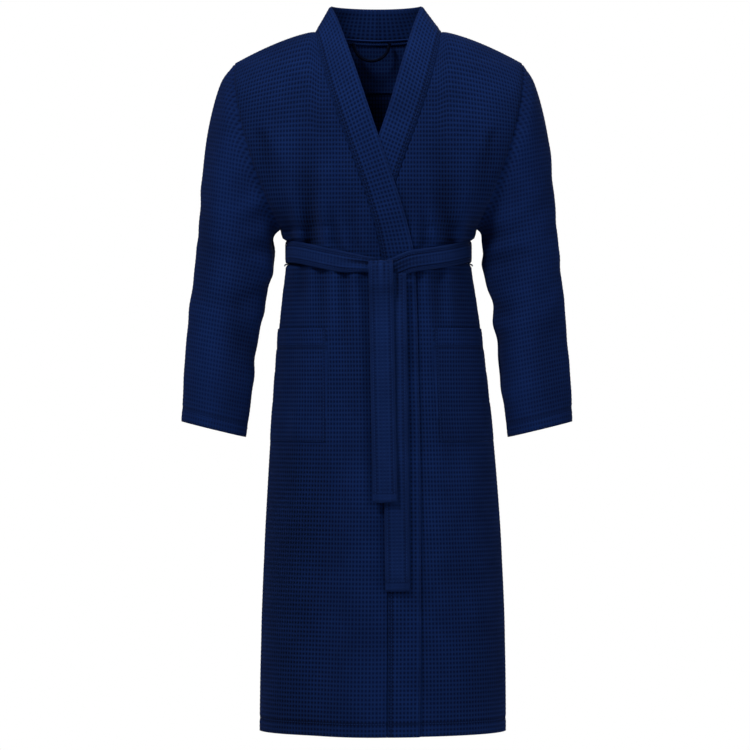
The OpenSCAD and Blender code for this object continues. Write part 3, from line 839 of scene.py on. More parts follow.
def band_frame(front):
    """Seam and free edge of the whole band: up the skirt, along the neck, round to the centre back."""
    z = np.linspace(0, WAIST_Z, BAND_LOWER, endpoint=False)
    inset = SEAM_DRIFT * (z / WAIST_Z) ** 4
    neck_seam, neck_free = neck_rib(front, np.linspace(0, 1, BAND_UPPER))
    turn = np.radians(np.linspace(0, 90.6, 90))[1:]
    x = NECK_HALF_WIDTH * np.cos(turn)
    zz = mix(BACK_NECK_Z, NECK_Z, (x / NECK_HALF_WIDTH) ** 2) - 0.1
    back_seam = worn_at(front * x, zz - 5 * SEAM_LAP * np.sin(turn), BACK)
    side_x = (front * COLLAR_TOP_HALF_WIDTH - (COLLAR_LEAN if front == LEFT else 0)) * np.cos(turn)
    back_free = xyz(side_x, COLLAR_TOP_HALF_DEPTH * np.sin(turn), COLLAR_TOP_Z)
    seam = [front_at(front, BAND_SEAM_X - SEAM_LAP - inset, z), neck_seam, back_seam]
    free = [front_at(front, BAND_SEAM_X + BAND_WIDTH - inset, z), neck_free, back_free]
    return np.concatenate(seam), np.concatenate(free)


def smoothed_band(front):
    """The band's two edges, eased from the waist upwards."""
    seam, free = band_frame(front)
    eased = slice(BAND_LOWER - 10, None)
    seam[eased], free[eased] = smooth_path(seam[eased], 14), smooth_path(free[eased], 30)
    return seam, free


def band_outward(front, seam, free):
    return unit(np.cross(free - seam, np.gradient(seam, axis=0))) * -front


def front_band(name, front):
    seam, free = smoothed_band(front)
    s = arc_length((seam + free) / 2)
    count = int(round(s[-1] / HALF_TALL / 2)) * 2
    at = np.linspace(0, s[-1], count + 1)
    seam, free = resample(at, s, seam), resample(at, s, free)
    q = np.arange(BAND_COLUMNS + 1) / BAND_COLUMNS
    base = seam[:, None] + (free - seam)[:, None] * q[None, :, None]
    base[..., 1] -= 4 * q * (1 - q) * 1.2 * (1 - smooth((seam[:, 2] - 900) / 250))[:, None]
    lattice = Lattice(np.zeros(count + 1), np.full(count + 1, float(BAND_COLUMNS)))
    if front == LEFT:
        lattice.flip()
    step = BAND_WIDTH / BAND_COLUMNS
    a, b = lattice.end_distances(step)
    start = at[lattice.lines]
    roll_seam, roll_free = edge_roll(a, 3.5), edge_roll(b, 3.2)
    h = hemmed(lattice.height(), start, HEM_DEPTH)
    # as relief these grooves also paint shade along the stitch line and the edge
    h = h * (1 - 0.7 * groove(a - 5.5, 2.4)) - 0.6 * groove(a - 5.5, 2.2)
    h = h * (1 - 0.5 * groove(b - 2.5, 2.5))
    thick = BAND_HALF_THICK * np.minimum(mix(0.35, 1, roll_seam), roll_free)
    face = thick + h * roll_free * roll_seam * 0.9
    sheet(name, lattice, base.reshape(-1, 3), BAND_STAND + face, BAND_STAND - face, TRIM,
          (lattice.ks * step, start), h, h)


# ---------------------------------------------------------------- sleeves
# from the armhole down to the cuff: (x, z) of the outer and inner line, and half the depth between
SLEEVE_OUTER = [
    (SHOULDER_HALF_WIDTH, SHOULDER_Z), (271, 1111), (292, 1029), (304, 925), (312, 810), (324, 690),
    (336, 531)]
SLEEVE_INNER = [
    (ARMPIT_HALF_WIDTH, ARMPIT_Z), (178, 848), (180, 815), (187, 770), (200, 710), (212, 620), (225, 504)]
SLEEVE_DEPTH = [ARMHOLE_HALF_DEPTH, 84, 76, 69, 63, 58, 54]
SLEEVE_STATIONS = 6
# soft creases at the elbow and below the armhole: height above the cuff, width, depth, slant
SLEEVE_CREASES = [
    (330, 16, -4.6, 30), (292, 14, 3.6, -26), (250, 17, -3.6, 36), (205, 15, 2.6, 20),
    (395, 20, -4.6, 50), (430, 18, 3.8, 64), (150, 20, -2.4, -30), (95, 18, 1.8, 26)]
SLEEVE_COLUMNS = 128
SLEEVE_PITCH = 3.1        # distance between two columns
CUFF_HEM = 24.0
CUFF_SHIFT = 2.8          # both cuffs hang a little towards the wearer's right
SLEEVE_TUCK = 6.5         # how far the top of the sleeve is pushed in under the edge of the armhole
SLEEVE_FLARE = 2.2        # how far its last rows stand out against that edge


def sleeve_point(k, turn):
    """The wearer's left sleeve: k stations down from the armhole, turned around its line."""
    o, i, d = spline(SLEEVE_OUTER, k), spline(SLEEVE_INNER, k), spline(SLEEVE_DEPTH, k)
    c = (1 + np.cos(turn)) / 2
    x, z = mix(i[..., 0], o[..., 0], c), mix(i[..., 1], o[..., 1], c)
    straight = mix(ARMPIT_HALF_WIDTH, SHOULDER_HALF_WIDTH, c)
    bow = (edge_x(mix(ARMPIT_Z, SHOULDER_Z, c)) - straight) * (1 - smooth(k / 3))
    return xyz(x + bow, d * np.sin(turn), z)


def sleeve(name, side):
    fine_k = np.linspace(SLEEVE_STATIONS, 0, 241)
    probe = np.radians(np.linspace(-180, 180, 721))
    arc = arc_length(sleeve_point(np.full_like(probe, 3.0), probe))
    turns = np.interp(np.linspace(0, arc[-1], SLEEVE_COLUMNS + 1), arc, probe)
    lengths = [arc_length(sleeve_point(fine_k, np.full_like(fine_k, turn))) for turn in turns]
    lattice = Lattice(np.zeros(len(turns)), [r[-1] / HALF_TALL for r in lengths])
    lattice.flip()
    up = lattice.ks * HALF_TALL
    k = np.zeros(lattice.size)
    for n in range(lattice.n):
        k[lattice.line(n)] = np.interp(up[lattice.line(n)], lengths[n], fine_k)
    turn = turns[lattice.lines]
    fold = np.zeros(lattice.size)
    for middle, width, depth, slant in SLEEVE_CREASES:
        at = middle + slant * np.sin(turn + 0.5 * side)
        # stronger on the inner side of the arm
        fold += depth * np.exp(-((up - at) / width) ** 2) * mix(0.3, 1, smooth((0.2 - np.cos(turn)) / 1.2))
    fold += 2.4 * soft_noise(np.degrees(turn) * 1.6, up * 0.4, 170, 11 + side)
    fold *= smooth(k / 1.2) * smooth(up / 60)
    base = sleeve_point(k, turn)
    base[:, 0] -= SLEEVE_TUCK * clamp01(1 - 5 * k) + side * CUFF_SHIFT * smooth(k / SLEEVE_STATIONS)
    base = base + vertex_normals(base, lattice.tris) * fold[:, None]
    a, b = lattice.end_distances(HALF_TALL)
    seam = np.minimum(lattice.lines, lattice.n - 1 - lattice.lines) * SLEEVE_PITCH
    roll = edge_roll(np.minimum(b, seam), 5.0)
    h = hemmed(lattice.height(), a, CUFF_HEM)
    outer = SLEEVE_FLARE * (1 - smooth(b / 15)) + h * mix(0.25, 1, roll)
    # the relief paints shade into the creases' valleys and light on their crests, more strongly than on the
    # body
    sheet(name, lattice, base, outer, -2.0 - 0.4 * h * roll, SLEEVE,
          (lattice.lines * SLEEVE_PITCH, up), h + 1.6 * FOLD_SHADE * fold, -h, side == RIGHT)


# ---------------------------------------------------------------- pockets
POCKET_HEM = 32.0
POCKET_INNER_X = 94.0
POCKET_LEAN = 6.0         # the inner edge is this much nearer to the centre at the top
POCKET_STAND = 2.4        # the pocket lies this far off the panel
POCKET_GAPE = 4.5         # and its mouth this much further


def pocket_inner_x(z):
    """Distance of the pocket's inner edge from the centre at a height."""
    return POCKET_INNER_X - POCKET_LEAN * (z - POCKET_Z) / (POCKET_TOP - POCKET_Z)


def pocket(name, front):
    rows = ROWS_OF[FRONT]
    ids = np.nonzero((rows.t >= POCKET_Z) & (rows.t <= POCKET_TOP))[0]
    ids = ids[:len(ids) - (len(ids) + 1) % 2]
    starts, ends = [], []
    for i in ids:
        outer_x = float(edge_x(rows.t[i])) * math.sin(math.radians(86))
        low, high = sorted([front * outer_x, front * pocket_inner_x(rows.t[i])])
        starts.append(rows.k_at(i, low))
        ends.append(rows.k_at(i, high))
    lattice = Lattice(starts, ends, line_ids=ids)
    x, z = rows.place(lattice, ids)
    bottom, top = z - rows.t[ids[0]], rows.t[ids[-1]] - z
    outer_edge, inner_edge = lattice.end_distances(HALF_WIDE * 0.88)[::-front]
    sewn = np.minimum(np.minimum(inner_edge, bottom), outer_edge)
    roll = edge_roll(sewn, 4.0)
    h = hemmed(lattice.height(), top, POCKET_HEM)
    # as relief the stitched groove also paints shade along the pocket's stitch lines
    stitched = groove(np.minimum(inner_edge, bottom) - 5.0, 2.2)
    h = h * (1 - 0.6 * stitched) - 0.5 * stitched
    across = np.clip(inner_edge / (inner_edge + outer_edge + 1e-6), 0, 1)
    gape = POCKET_GAPE * np.exp(-top / 26.0) * np.sin(math.pi * across) ** 0.7
    sag = 1.2 * soft_noise(x, z, 120, 21 + front) * smooth(sewn / 30)
    lift = FACE_OUT + POCKET_STAND + gape + sag
    outer = mix(0.8, lift, roll) + h * mix(0.3, 1, roll)
    inner = mix(0.2, lift - 1.9, roll) - 0.3 * h * roll
    sheet(name, lattice, cloth_at(x, z, FRONT, front), outer, inner, NAVY,
          (lattice.ks * HALF_WIDE, z), h, -h)


# ---------------------------------------------------------------- strips: belt, knot and tails
STRIP_COLUMNS = 14
STRIP_HALF_THICK = 1.7
END_HEM = 16.5            # depth of the hem at the end of a tail
LENGTHWISE_RIB = 0.4      # the folded layers inside the belt show as soft ribs along it
BELT_HALF_WIDTH = (node_box("belt_wrap")[1][0] - node_box("belt_wrap")[0][0]) / 2 - 2.0


def strip(name, path, across, out, width, creases, hemmed_end=False):
    """A folded, edge-stitched strip: path is its centre line, across its width direction, out its face."""
    s = arc_length(path)
    count = max(2, int(round(s[-1] / HALF_WIDE / 2)) * 2)
    at = np.linspace(0, s[-1], count + 1)
    path, across, out = resample(at, s, path), unit(resample(at, s, across)), unit(resample(at, s, out))
    width = np.interp(at, s, width)
    q = np.arange(STRIP_COLUMNS + 1) / STRIP_COLUMNS - 0.5
    base = (path[:, None] + across[:, None] * (q[None, :] * width[:, None])[..., None]).reshape(-1, 3)
    lattice = Lattice(np.zeros(count + 1), np.full(count + 1, float(STRIP_COLUMNS)))
    face = np.repeat(out, STRIP_COLUMNS + 1, 0)
    v = (q[None, :] * width[:, None]).ravel()
    edge = np.repeat(width, STRIP_COLUMNS + 1) / 2 - np.abs(v)
    start = at[lattice.lines]
    weave = lattice.height(0.3) * 0.8 + LENGTHWISE_RIB * np.cos(v * 2 * np.pi / 7.0)
    h = weave * smooth((edge - 4.5) / 3) - 0.75 * groove(edge - 5.2, 1.9) - 0.25 * groove(edge - 1.5, 1.2)
    if hemmed_end:
        near = at[-1] - start
        plain = 1 - smooth((near - 15) / 4)
        h = h * (1 - 0.6 * plain) + 0.15 * plain
        h = h - 0.8 * groove(near - END_HEM, 1.8) - 0.3 * groove(near - 2.0, 1.4)
    h = h + creases(start, v, at[-1])
    roll = edge_roll(edge, 2.4)
    ends = edge_roll(np.minimum(start, at[-1] - start), 2.4)
    thick = STRIP_HALF_THICK * np.minimum(mix(0.25, 1, roll), mix(0.25, 1, ends))
    sample = lattice.tris[len(lattice.tris) // 2]
    a, b, c = base[sample]
    if np.dot(np.cross(b - a, c - a), face[sample[0]]) < 0:
        lattice.flip()
    outer, inner = thick + h * roll, -(thick + h * roll * 0.8)
    # h goes to the material too: painted shade in the stitch grooves, creases and pits, painted light on the
    # ribs and ridges
    sheet(name, lattice, base, outer, inner, BELT, (v, start), h, h, face=face)


def belt_centre():
    """Centre line of the belt from one side of the knot round to the other, with outward directions."""
    a = np.radians(np.linspace(2, 358, 500))
    x = BELT_HALF_WIDTH * np.sin(a)
    front = np.cos(a) > 0
    reach = np.where(front, WAIST_HALF_DEPTH + 15, WAIST_HALF_DEPTH + 10)
    z = np.where(front, BELT_SIDE_Z - BELT_DIP * (1 - np.abs(x) / BELT_HALF_WIDTH), BELT_SIDE_Z)
    near_knot = np.where(front, 1 - smooth((np.abs(x - KNOT_X) - 16) / 60), 0)
    z = z + np.where(front, np.where(x > 0, -11.0, 3.0) * smooth((60 - np.abs(x)) / 60), 0)
    z = z + 1.2 * np.sin(a * 5 + 0.7) * (1 - near_knot)
    wave = 0.9 * np.sin(a * 9 + 1.0) + 0.6 * np.sin(a * 15)
    return xyz(x, -(reach + wave * 0.6) * np.cos(a), z), unit(xyz(np.sin(a) * 0.7, -np.cos(a), 0))


def belt_width_at(x, y):
    """The belt is drawn narrower where it runs into the knot."""
    near_knot = np.where(y < 0, 1 - smooth((np.abs(x - KNOT_X) - 16) / 60), 0)
    return mix(BELT_WIDTH - 5, np.where(x < 0, 27.0, 40.0), near_knot)


def belt():
    path, out = belt_centre()
    lean = np.where(path[:, 1] < 0, 0.10, 0.0) * path[:, 0] / BELT_HALF_WIDTH
    across = xyz(-lean, 0, 1)
    width = belt_width_at(path[:, 0], path[:, 1])

    def creases(start, v, length):
        right_of_knot = np.exp(-((start - 20) / 55.0) ** 2)
        left_of_knot = np.exp(-((length - start - 10) / 38.0) ** 2)
        lines = sum(groove(v - w, 1.8) for w in (-10.5, -3.5, 3.5, 10.5))
        bunch = groove(v - 2, 3.0) - 0.6 * groove(v + 6, 3.5)
        return -1.3 * right_of_knot * lines - 1.6 * left_of_knot * bunch

    strip("belt_waffle", path, across, out, width, creases)


KNOT_FORWARD = 7.0        # how far the knot pushes the outer tail forward
# x and z at the top and the end, distance in front of the body, whether it passes over the knot
TAILS = {"outer": (KNOT_X - 0.5, KNOT_X + 7, KNOT_Z + 14, TAIL_OUTER_END, 24, True),
         "inner": (KNOT_X + 22, KNOT_X + 28, KNOT_Z - 8, TAIL_INNER_END, 16)}


def tail_path(x_top, x_end, z_top, z_end, out, over_knot=False):
    """Centre line of a tail; the outer one comes forward over the knot before it hangs."""
    z = np.linspace(z_top, z_end, 200)
    x = mix(x_end, x_top, (z - z_end) / (z_top - z_end))
    below = sum(settled(x + shift, z, FRONT)[:, 1] for shift in (-18, -9, 0, 9, 18)) / 5
    y = -(centre_depth(z) + out) + below * smooth((z_top - z) / 120)
    if over_knot:
        over = smooth((z - (KNOT_Z - 46)) / 22)
        y = y - KNOT_FORWARD * over * np.sqrt(clamp01((z_top - z) / 9))
        y = y + 10 * (1 - clamp01((z_top - z) / 9)) ** 2
    return x, y, z


def tail(name, waves, seed, spec):
    x, y, z = tail_path(*spec)
    wave = np.sin(z / 58.0 + seed) * 0.8 + 0.5 * np.sin(z / 31.0 + 2 * seed)
    y = y - waves * wave * smooth((z[0] - z) / 60)
    twist = 0.07 * waves * np.sin(z / 75.0 + seed * 1.7) * smooth((z[0] - z) / 80)
    path = xyz(x, y, z)
    across = xyz(np.cos(twist), np.sin(twist), 0.018)
    facing = np.cross(np.gradient(path, axis=0), across)
    facing = unit(facing * np.sign(-facing[:, 1:2]))

    def creases(start, v, length):
        top = np.exp(-(start / 45.0) ** 2)
        return -1.1 * top * (groove(v - 6, 2.2) + groove(v + 7, 2.2)) + 0.5 * top * groove(v, 3.0)

    strip(name, path, across, facing, np.full_like(z, BELT_WIDTH), creases, hemmed_end=True)


def knot():
    """The strip wrapped over the belt: from behind its top edge, over, down the front and under."""
    turn = np.radians(np.linspace(-60, 200, 160))
    tall, deep, middle_y = 16.0, 6.0, -(WAIST_HALF_DEPTH + 22.5)
    z = KNOT_Z - 3 + tall * np.sign(np.cos(turn)) * np.abs(np.cos(turn)) ** 0.55
    y = middle_y - deep * np.sign(np.sin(turn)) * np.abs(np.sin(turn)) ** 0.7
    path = xyz(KNOT_X, y, z)
    across = np.tile([1.0, 0, 0], (len(turn), 1))
    out = np.cross(across, np.gradient(path, axis=0))
    out = out * np.sign(np.sum(out * (path - np.array([KNOT_X, middle_y, KNOT_Z])), 1))[:, None]

    def creases(start, v, length):
        return -0.8 * groove(v - 8, 2.2) - 0.7 * groove(v + 6, 2.2)

    strip("knot_waffle", path, across, out, 39.0 - 2.5 * np.sin(turn) ** 2, creases)


# ---------------------------------------------------------------- cords, neck facing and tapes
FACING_END_Z = 1103.0


def cord(name, path, radius, material, strands=3, pitch=9.0, sides=14):
    """A laid cord along a path: strands wind round it, so its surface is ribbed."""
    s = arc_length(path)
    count = int(s[-1] / 0.9)
    at = np.linspace(0, s[-1], count + 1)
    p = resample(at, s, path)
    tangent = unit(np.gradient(p, axis=0))
    side = unit(np.cross(tangent, np.array([0, 1.0, 0.001])))
    other = np.cross(tangent, side)
    turn = np.arange(sides) / sides * 2 * np.pi
    rib = 1 + 0.16 * np.cos(strands * (turn[None] - at[:, None] / pitch * 2 * np.pi))
    ring = side[:, None] * np.cos(turn)[None, :, None] + other[:, None] * np.sin(turn)[None, :, None]
    points = (p[:, None] + ring * (radius * rib)[..., None]).reshape(-1, 3)
    i, j = np.meshgrid(np.arange(count), np.arange(sides), indexing="ij")
    a = (i * sides + j).ravel()
    b = (i * sides + (j + 1) % sides).ravel()
    first = np.arange(sides)
    last = count * sides + first
    caps = np.full((2, sides), [[len(points)], [len(points) + 1]])
    faces = [np.stack([a, b, b + sides], 1), np.stack([a, b + sides, a + sides], 1),
             np.stack([caps[0], np.roll(first, -1), first], 1),
             np.stack([caps[1], last, np.roll(last, -1)], 1)]
    uv = np.stack([np.tile(turn, count + 1) * radius, np.repeat(at, sides)], -1)
    # the strands' ribs go to the material as relief: painted shade between the strands, painted light on
    # their crowns
    make_mesh(name, np.concatenate([points, p[[0, -1]]]), np.concatenate(faces), material,
              np.concatenate([uv, np.zeros((2, 2))]), np.concatenate([(rib * 4 - 4).ravel(), [0, 0]]))


def hanging_loop():
    low, high = node_box("hanging_loop")
    middle = (low + high) / 2
    radius = (high[0] - low[0]) / 2 - 2.5
    a = np.linspace(0, np.pi, 80)
    path = xyz(middle[0] - radius * np.cos(a), middle[1], high[2] - radius * np.sin(a))
    cord("hanging_loop_cord", path, 2.7, CORD)


def belt_loop(name, side):
    """A fine cord sewn to the side seam above and below the belt, lying close round the belt."""
    tall = (BELT_WIDTH - 5) / 2
    outline = [(edge_x(BELT_SIDE_Z + tall + 6) - 1.8, tall + 6),
               (edge_x(BELT_SIDE_Z + tall + 4) + 0.2, tall + 3.6),
               (BELT_HALF_WIDTH - 2.5, tall + 1.3), (BELT_HALF_WIDTH + 0.8, tall - 0.8),
               (BELT_HALF_WIDTH + 2.2, tall - 5), (BELT_HALF_WIDTH + 2.4, 0)]
    outline += [(x, -z) for x, z in outline[-2::-1]]
    bend = spline(outline, np.linspace(0, len(outline) - 1, 120))
    path = xyz(side * bend[:, 0] + shift_x(BELT_SIDE_Z), 0, BELT_SIDE_Z + bend[:, 1])
    cord(name, path, 1.2, BELT, strands=2, pitch=5.0, sides=10)


def neck_facing():
    rows = ROWS_OF[BACK]
    ids = np.nonzero((rows.t >= FACING_END_Z) & (rows.t <= NECK_Z - 5))[0]
    half = NECK_HALF_WIDTH - 18
    lattice = Lattice([rows.k_at(i, -half) for i in ids], [rows.k_at(i, half) for i in ids], line_ids=ids)
    lattice.flip()
    x, z = rows.place(lattice, ids)
    a, b = lattice.end_distances(HALF_WIDE * 0.9)
    sewn = np.minimum(np.minimum(a, b), rows.t[lattice.lines] - rows.t[ids[0]])
    roll = edge_roll(sewn, 4.0)
    # as relief the stitched groove also paints shade along the facing's stitch line
    stitched = groove(sewn - 5, 2.2)
    h = lattice.height() * (1 - 0.6 * stitched) - 0.6 * stitched
    sheet("back_neck_facing_waffle", lattice, worn_at(x, z, BACK), -mix(1.0, 1.6, roll),
          -(mix(1.4, 3.6, roll) + h * roll), FACING_PAINTED_LIGHT, (lattice.ks * HALF_WIDE, z), -h, h)


def neck_binding():
    """The corded binding over the collar's seam, inside the back of the neck."""
    x = np.linspace(-NECK_HALF_WIDTH + 14, NECK_HALF_WIDTH - 14, 120)
    p = worn_at(x, top_z(x, BACK) + 0.2, BACK)
    p[:, 1] -= 1.9
    cord("neck_seam_binding", p, 1.5, THREAD, strands=4, pitch=5.0, sides=10)


def neck_tape(name, front):
    """The tape that covers the collar's seam from the inside."""
    seam, free = (edge[BAND_LOWER + BAND_UPPER // 2:] for edge in band_frame(front))
    path = smooth_path(seam - band_outward(front, seam, free) * 1.6, 6)
    cord(name, path, 2.2, TRIM, strands=2, pitch=7.0, sides=10)


# ---------------------------------------------------------------- stitching
STITCH = 3.1
STITCH_GAP = 1.4
STITCH_RADIUS = 0.5
STITCH_SIDES = 6
STITCH_SHAPE = np.array([[0, 0.3], [0.18, 1.0], [0.5, 1.15], [0.82, 1.0], [1, 0.3]])   # (place, thickness)
REACH = 14.0              # how far from the drawn line the surface is looked for
BAND_INSET = 5.5          # the rows of stitches run this far inside a band's seam
STRIP_INSET = 5.2         # and this far inside the edges of a tail
HEM_END = float(edge_x(HEM_DEPTH)) - 4


def mesh_arrays(name):
    mesh = PIECES[name].data
    points = np.empty(len(mesh.vertices) * 3, np.float32)
    mesh.vertices.foreach_get("co", points)
    tris = np.empty(len(mesh.loops), np.int32)
    mesh.loops.foreach_get("vertex_index", tris)
    return points.reshape(-1, 3) / MM, tris.reshape(-1, 3)


def laid_on(tree, points, outward):
    """Heights along the outward directions at which a line meets a surface, smoothed along the line."""
    heights = []
    for p, o in zip(points, outward):
        hit = tree.ray_cast(Vector(p + o * REACH), Vector(-o), 2 * REACH)
        heights.append(REACH - hit[3] if hit[0] is not None else np.nan)
    heights = np.array(heights)
    good = ~np.isnan(heights)
    index = np.arange(len(heights))
    heights = np.interp(index, index[good], heights[good])
    padded = np.pad(heights, 3, mode="edge")
    return np.mean([padded[k:k + len(heights)] for k in range(7)], axis=0)


def stitch_faces():
    """Triangles of one stitch, ring by ring, with a flat cap at each end."""
    faces = []
    last = (len(STITCH_SHAPE) - 1) * STITCH_SIDES
    for low in range(0, last, STITCH_SIDES):
        for j in range(STITCH_SIDES):
            a, b = low + j, low + (j + 1) % STITCH_SIDES
            faces += [(a, b, b + STITCH_SIDES), (a, b + STITCH_SIDES, a + STITCH_SIDES)]
    for j in range(1, STITCH_SIDES - 1):
        faces += [(0, j + 1, j), (last, last + j, last + j + 1)]
    return np.array(faces)


def sew(name, piece, lines):
    """Rows of raised stitches on a piece, along lines given as (points, outward directions)."""
    points, tris = mesh_arrays(piece)
    tree = BVHTree.FromPolygons(points.tolist(), tris.tolist())
    around = np.radians(np.arange(STITCH_SIDES) * 360 / STITCH_SIDES)[:, None]
    place, thickness = STITCH_SHAPE.T[:, None, :, None]
    made = []
    for line, outward in lines:
        s = arc_length(line)
        at = np.arange(1.0, s[-1] - STITCH, STITCH + STITCH_GAP)
        out = unit(resample(at + STITCH / 2, s, outward))
        heights = laid_on(tree, resample(at + STITCH / 2, s, line), out)
        start, end = resample(at, s, line)[:, None], resample(at + STITCH, s, line)[:, None]
        across = np.cross(unit(end - start), out[:, None])
        centre = start + (end - start) * place + (out * (heights + 0.1)[:, None])[:, None]
        ring = np.cos(around) * across + np.sin(around) * out[:, None]
        made.append(centre[:, :, None] + ring[:, None] * (STITCH_RADIUS * thickness)[..., None])
    points = np.concatenate(made).reshape(-1, 3)
    count = len(STITCH_SHAPE) * STITCH_SIDES
    faces = stitch_faces() + np.arange(0, len(points), count)[:, None, None]
    make_mesh(name, points, faces.reshape(-1, 3), THREAD, points[:, [0, 2]], np.full(len(points), 0.3))


def cloth_line(x, z, side, front=None):
    """A line drawn on a panel of the body, with its outward directions."""
    x, z = np.broadcast_arrays(np.asarray(x, float), np.asarray(z, float))
    along_x = cloth_at(x + 2, z, side, front) - cloth_at(x - 2, z, side, front)
    along_z = cloth_at(x, z + 2, side, front) - cloth_at(x, z - 2, side, front)
    out = unit(np.cross(along_x, along_z))
    return cloth_at(x, z, side, front), out * np.sign(out[:, 1:2] * side)


def hem_line(side, x_ends, front=None):
    return [cloth_line(np.linspace(*sorted(x_ends), 160), HEM_DEPTH, side, front)]


def pocket_lines(front):
    z = np.linspace(POCKET_Z + 6, POCKET_TOP - 6, 80)
    lines = [cloth_line(front * (pocket_inner_x(z) + 5.0), z, FRONT, front)]
    for level in (POCKET_Z + 6.5, POCKET_TOP - POCKET_HEM):
        edge = float(edge_x(level)) * math.sin(math.radians(84))
        lines.append(cloth_line(front * np.linspace(POCKET_INNER_X + 4, edge, 60), level, FRONT, front))
    return lines


def band_lines(front):
    seam, free = smoothed_band(front)
    width = np.linalg.norm(free - seam, axis=1, keepdims=True)
    line = seam + (free - seam) * BAND_INSET / width
    return [(line[4:-4], band_outward(front, seam, free)[4:-4])]


def cuff_lines(side):
    turn = np.radians(np.linspace(-178, 178, 200))
    k = np.full_like(turn, 5.82)
    p = sleeve_point(k, turn)
    middle = (sleeve_point(k, 0 * turn) + sleeve_point(k, 0 * turn + np.pi)) / 2
    if side == RIGHT:
        p, middle = p * MIRROR, middle * MIRROR
    return [(p, unit(p - middle))]


def tail_lines(spec):
    x, y, z = tail_path(*spec)
    face = np.tile([0.0, -1.0, 0.0], (len(x), 1))
    lines = []
    for shift in (STRIP_INSET - BELT_WIDTH / 2, BELT_WIDTH / 2 - STRIP_INSET):
        lines.append((xyz(x + shift, y, z)[3:-6], face[3:-6]))
    across = np.linspace(-BELT_WIDTH / 2 + 7, BELT_WIDTH / 2 - 7, 20)
    lines.append((xyz(x[-1] + across, y[-1], z[-1] + END_HEM), face[:20]))
    return lines


def belt_lines():
    lines = []
    for offset in (-BELT_WIDTH / 2 + 7, BELT_WIDTH / 2 - 7):
        path, out = belt_centre()
        clear = np.nonzero((np.abs(path[:, 0] - KNOT_X) > 24) | (path[:, 1] > 0))[0]
        path[:, 2] += offset * belt_width_at(path[:, 0], path[:, 1]) / BELT_WIDTH
        lines.append((path[clear[0]:clear[-1]], out[clear[0]:clear[-1]]))
    return lines


# ---------------------------------------------------------------- all the pieces
body_panel("back_waffle", BACK)
neck_facing()
neck_binding()
hanging_loop()
belt()
knot()
tail("outer_tail_waffle", 1.3, 0.4, TAILS["outer"])
tail("inner_tail_waffle", 0.8, 2.1, TAILS["inner"])
sew("back_stitching", "back_waffle", hem_line(BACK, (-HEM_END, HEM_END)))
sew("belt_stitching", "belt_waffle", belt_lines())
for word, spec in TAILS.items():
    sew(word + "_tail_stitching", word + "_tail_waffle", tail_lines(spec))
for word, side in SIDES.items():
    body_panel(word + "_front_waffle", FRONT, side)
    front_band(word + "_front_band_waffle", side)
    sleeve(word + "_sleeve_waffle", side)
    pocket(word + "_pocket_waffle", side)
    belt_loop(word + "_belt_loop_cord", side)
    neck_tape(word + "_neck_tape", side)
    hem_ends = (side * HEM_END, -side * (BAND_SEAM_X - 2))
    sew(word + "_front_stitching", word + "_front_waffle", hem_line(FRONT, hem_ends, side))
    sew(word + "_band_stitching", word + "_front_band_waffle", band_lines(side))
    sew(word + "_pocket_stitching", word + "_pocket_waffle", pocket_lines(side))
    sew(word + "_cuff_stitching", word + "_sleeve_waffle", cuff_lines(side))


# ---------------------------------------------------------------- the bodies that carry some pieces, and the CAD nodes that the pieces stand in for
BODY, TRIMMING, BELTING, CORDAGE = "waffle_body", "waffle_trim", "waffle_belt", "cord"
FOLD_TOP = np.array([66.0, 235.0])        # the line, as (x, z), along which the lower corner folds back
FOLD_FOOT = np.array([-90.0, 0.0])
FOLD_Y = -150.0
fold = unit(FOLD_TOP - FOLD_FOOT)
fold_middle = (FOLD_TOP + FOLD_FOOT) / 2
across_fold = np.array([fold[1], -fold[0]])
CORNER_BEND = (fold_middle - across_fold * 30, fold_middle + across_fold * 55)
ARMHOLE_BEND = ((180.5, 861.2), (268.0, 834.8))     # where a sleeve's cloth starts and stops to bend
TAIL_BEND_Z = (764.0, 722.0)
# x of each tail below the knot and its distance in front of the middle plane
TAIL_PLACES = {"outer": (KNOT_X + 0.5, 139), "inner": (KNOT_X + 26, 131)}


def dress(nodes):
    """Hides the CAD nodes that a piece stands in for."""
    if nodes:
        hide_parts(*nodes)


def ride(name, body, slot, *nodes):
    """A piece that is carried by one body."""
    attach(PIECES[name], body)
    dress(nodes)


def bend(name, body, places, y, slot, *nodes):
    """Bakes a piece's placement into its mesh and hides its CAD nodes; the body, the places (x, z), the depth
    y and the slot are not used.
    """
    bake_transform(PIECES[name])
    dress(nodes)


ride("back_waffle", "robe", BODY, "back_panel")
ride("left_front_waffle", "robe", BODY, "left_front_panel")
ride("left_front_band_waffle", "robe", TRIMMING, "left_front_band")
ride("back_neck_facing_waffle", "robe", BODY, "back_neck_facing")
ride("belt_waffle", "robe", BELTING, "belt_wrap")
ride("knot_waffle", "robe", BELTING, "belt_knot")
ride("hanging_loop_cord", "loop", CORDAGE, "hanging_loop")
for name in ("back_stitching", "left_front_stitching", "left_band_stitching", "belt_stitching",
             "neck_seam_binding"):
    ride(name, "robe", TRIMMING)
bend("right_front_waffle", "front_corner", CORNER_BEND, FOLD_Y, BODY,
     "right_front_panel", "right_front_corner")
bend("right_front_band_waffle", "front_corner", CORNER_BEND, FOLD_Y, TRIMMING,
     "right_front_band", "right_band_end")
for name in ("right_front_stitching", "right_band_stitching"):
    bend(name, "front_corner", CORNER_BEND, FOLD_Y, TRIMMING)
for word, (x, out) in TAIL_PLACES.items():
    places = [(x, z) for z in TAIL_BEND_Z]
    bend(word + "_tail_waffle", "tail_" + word, places, -out, BELTING, "belt_tail_" + word)
    bend(word + "_tail_stitching", "tail_" + word, places, -out, TRIMMING)
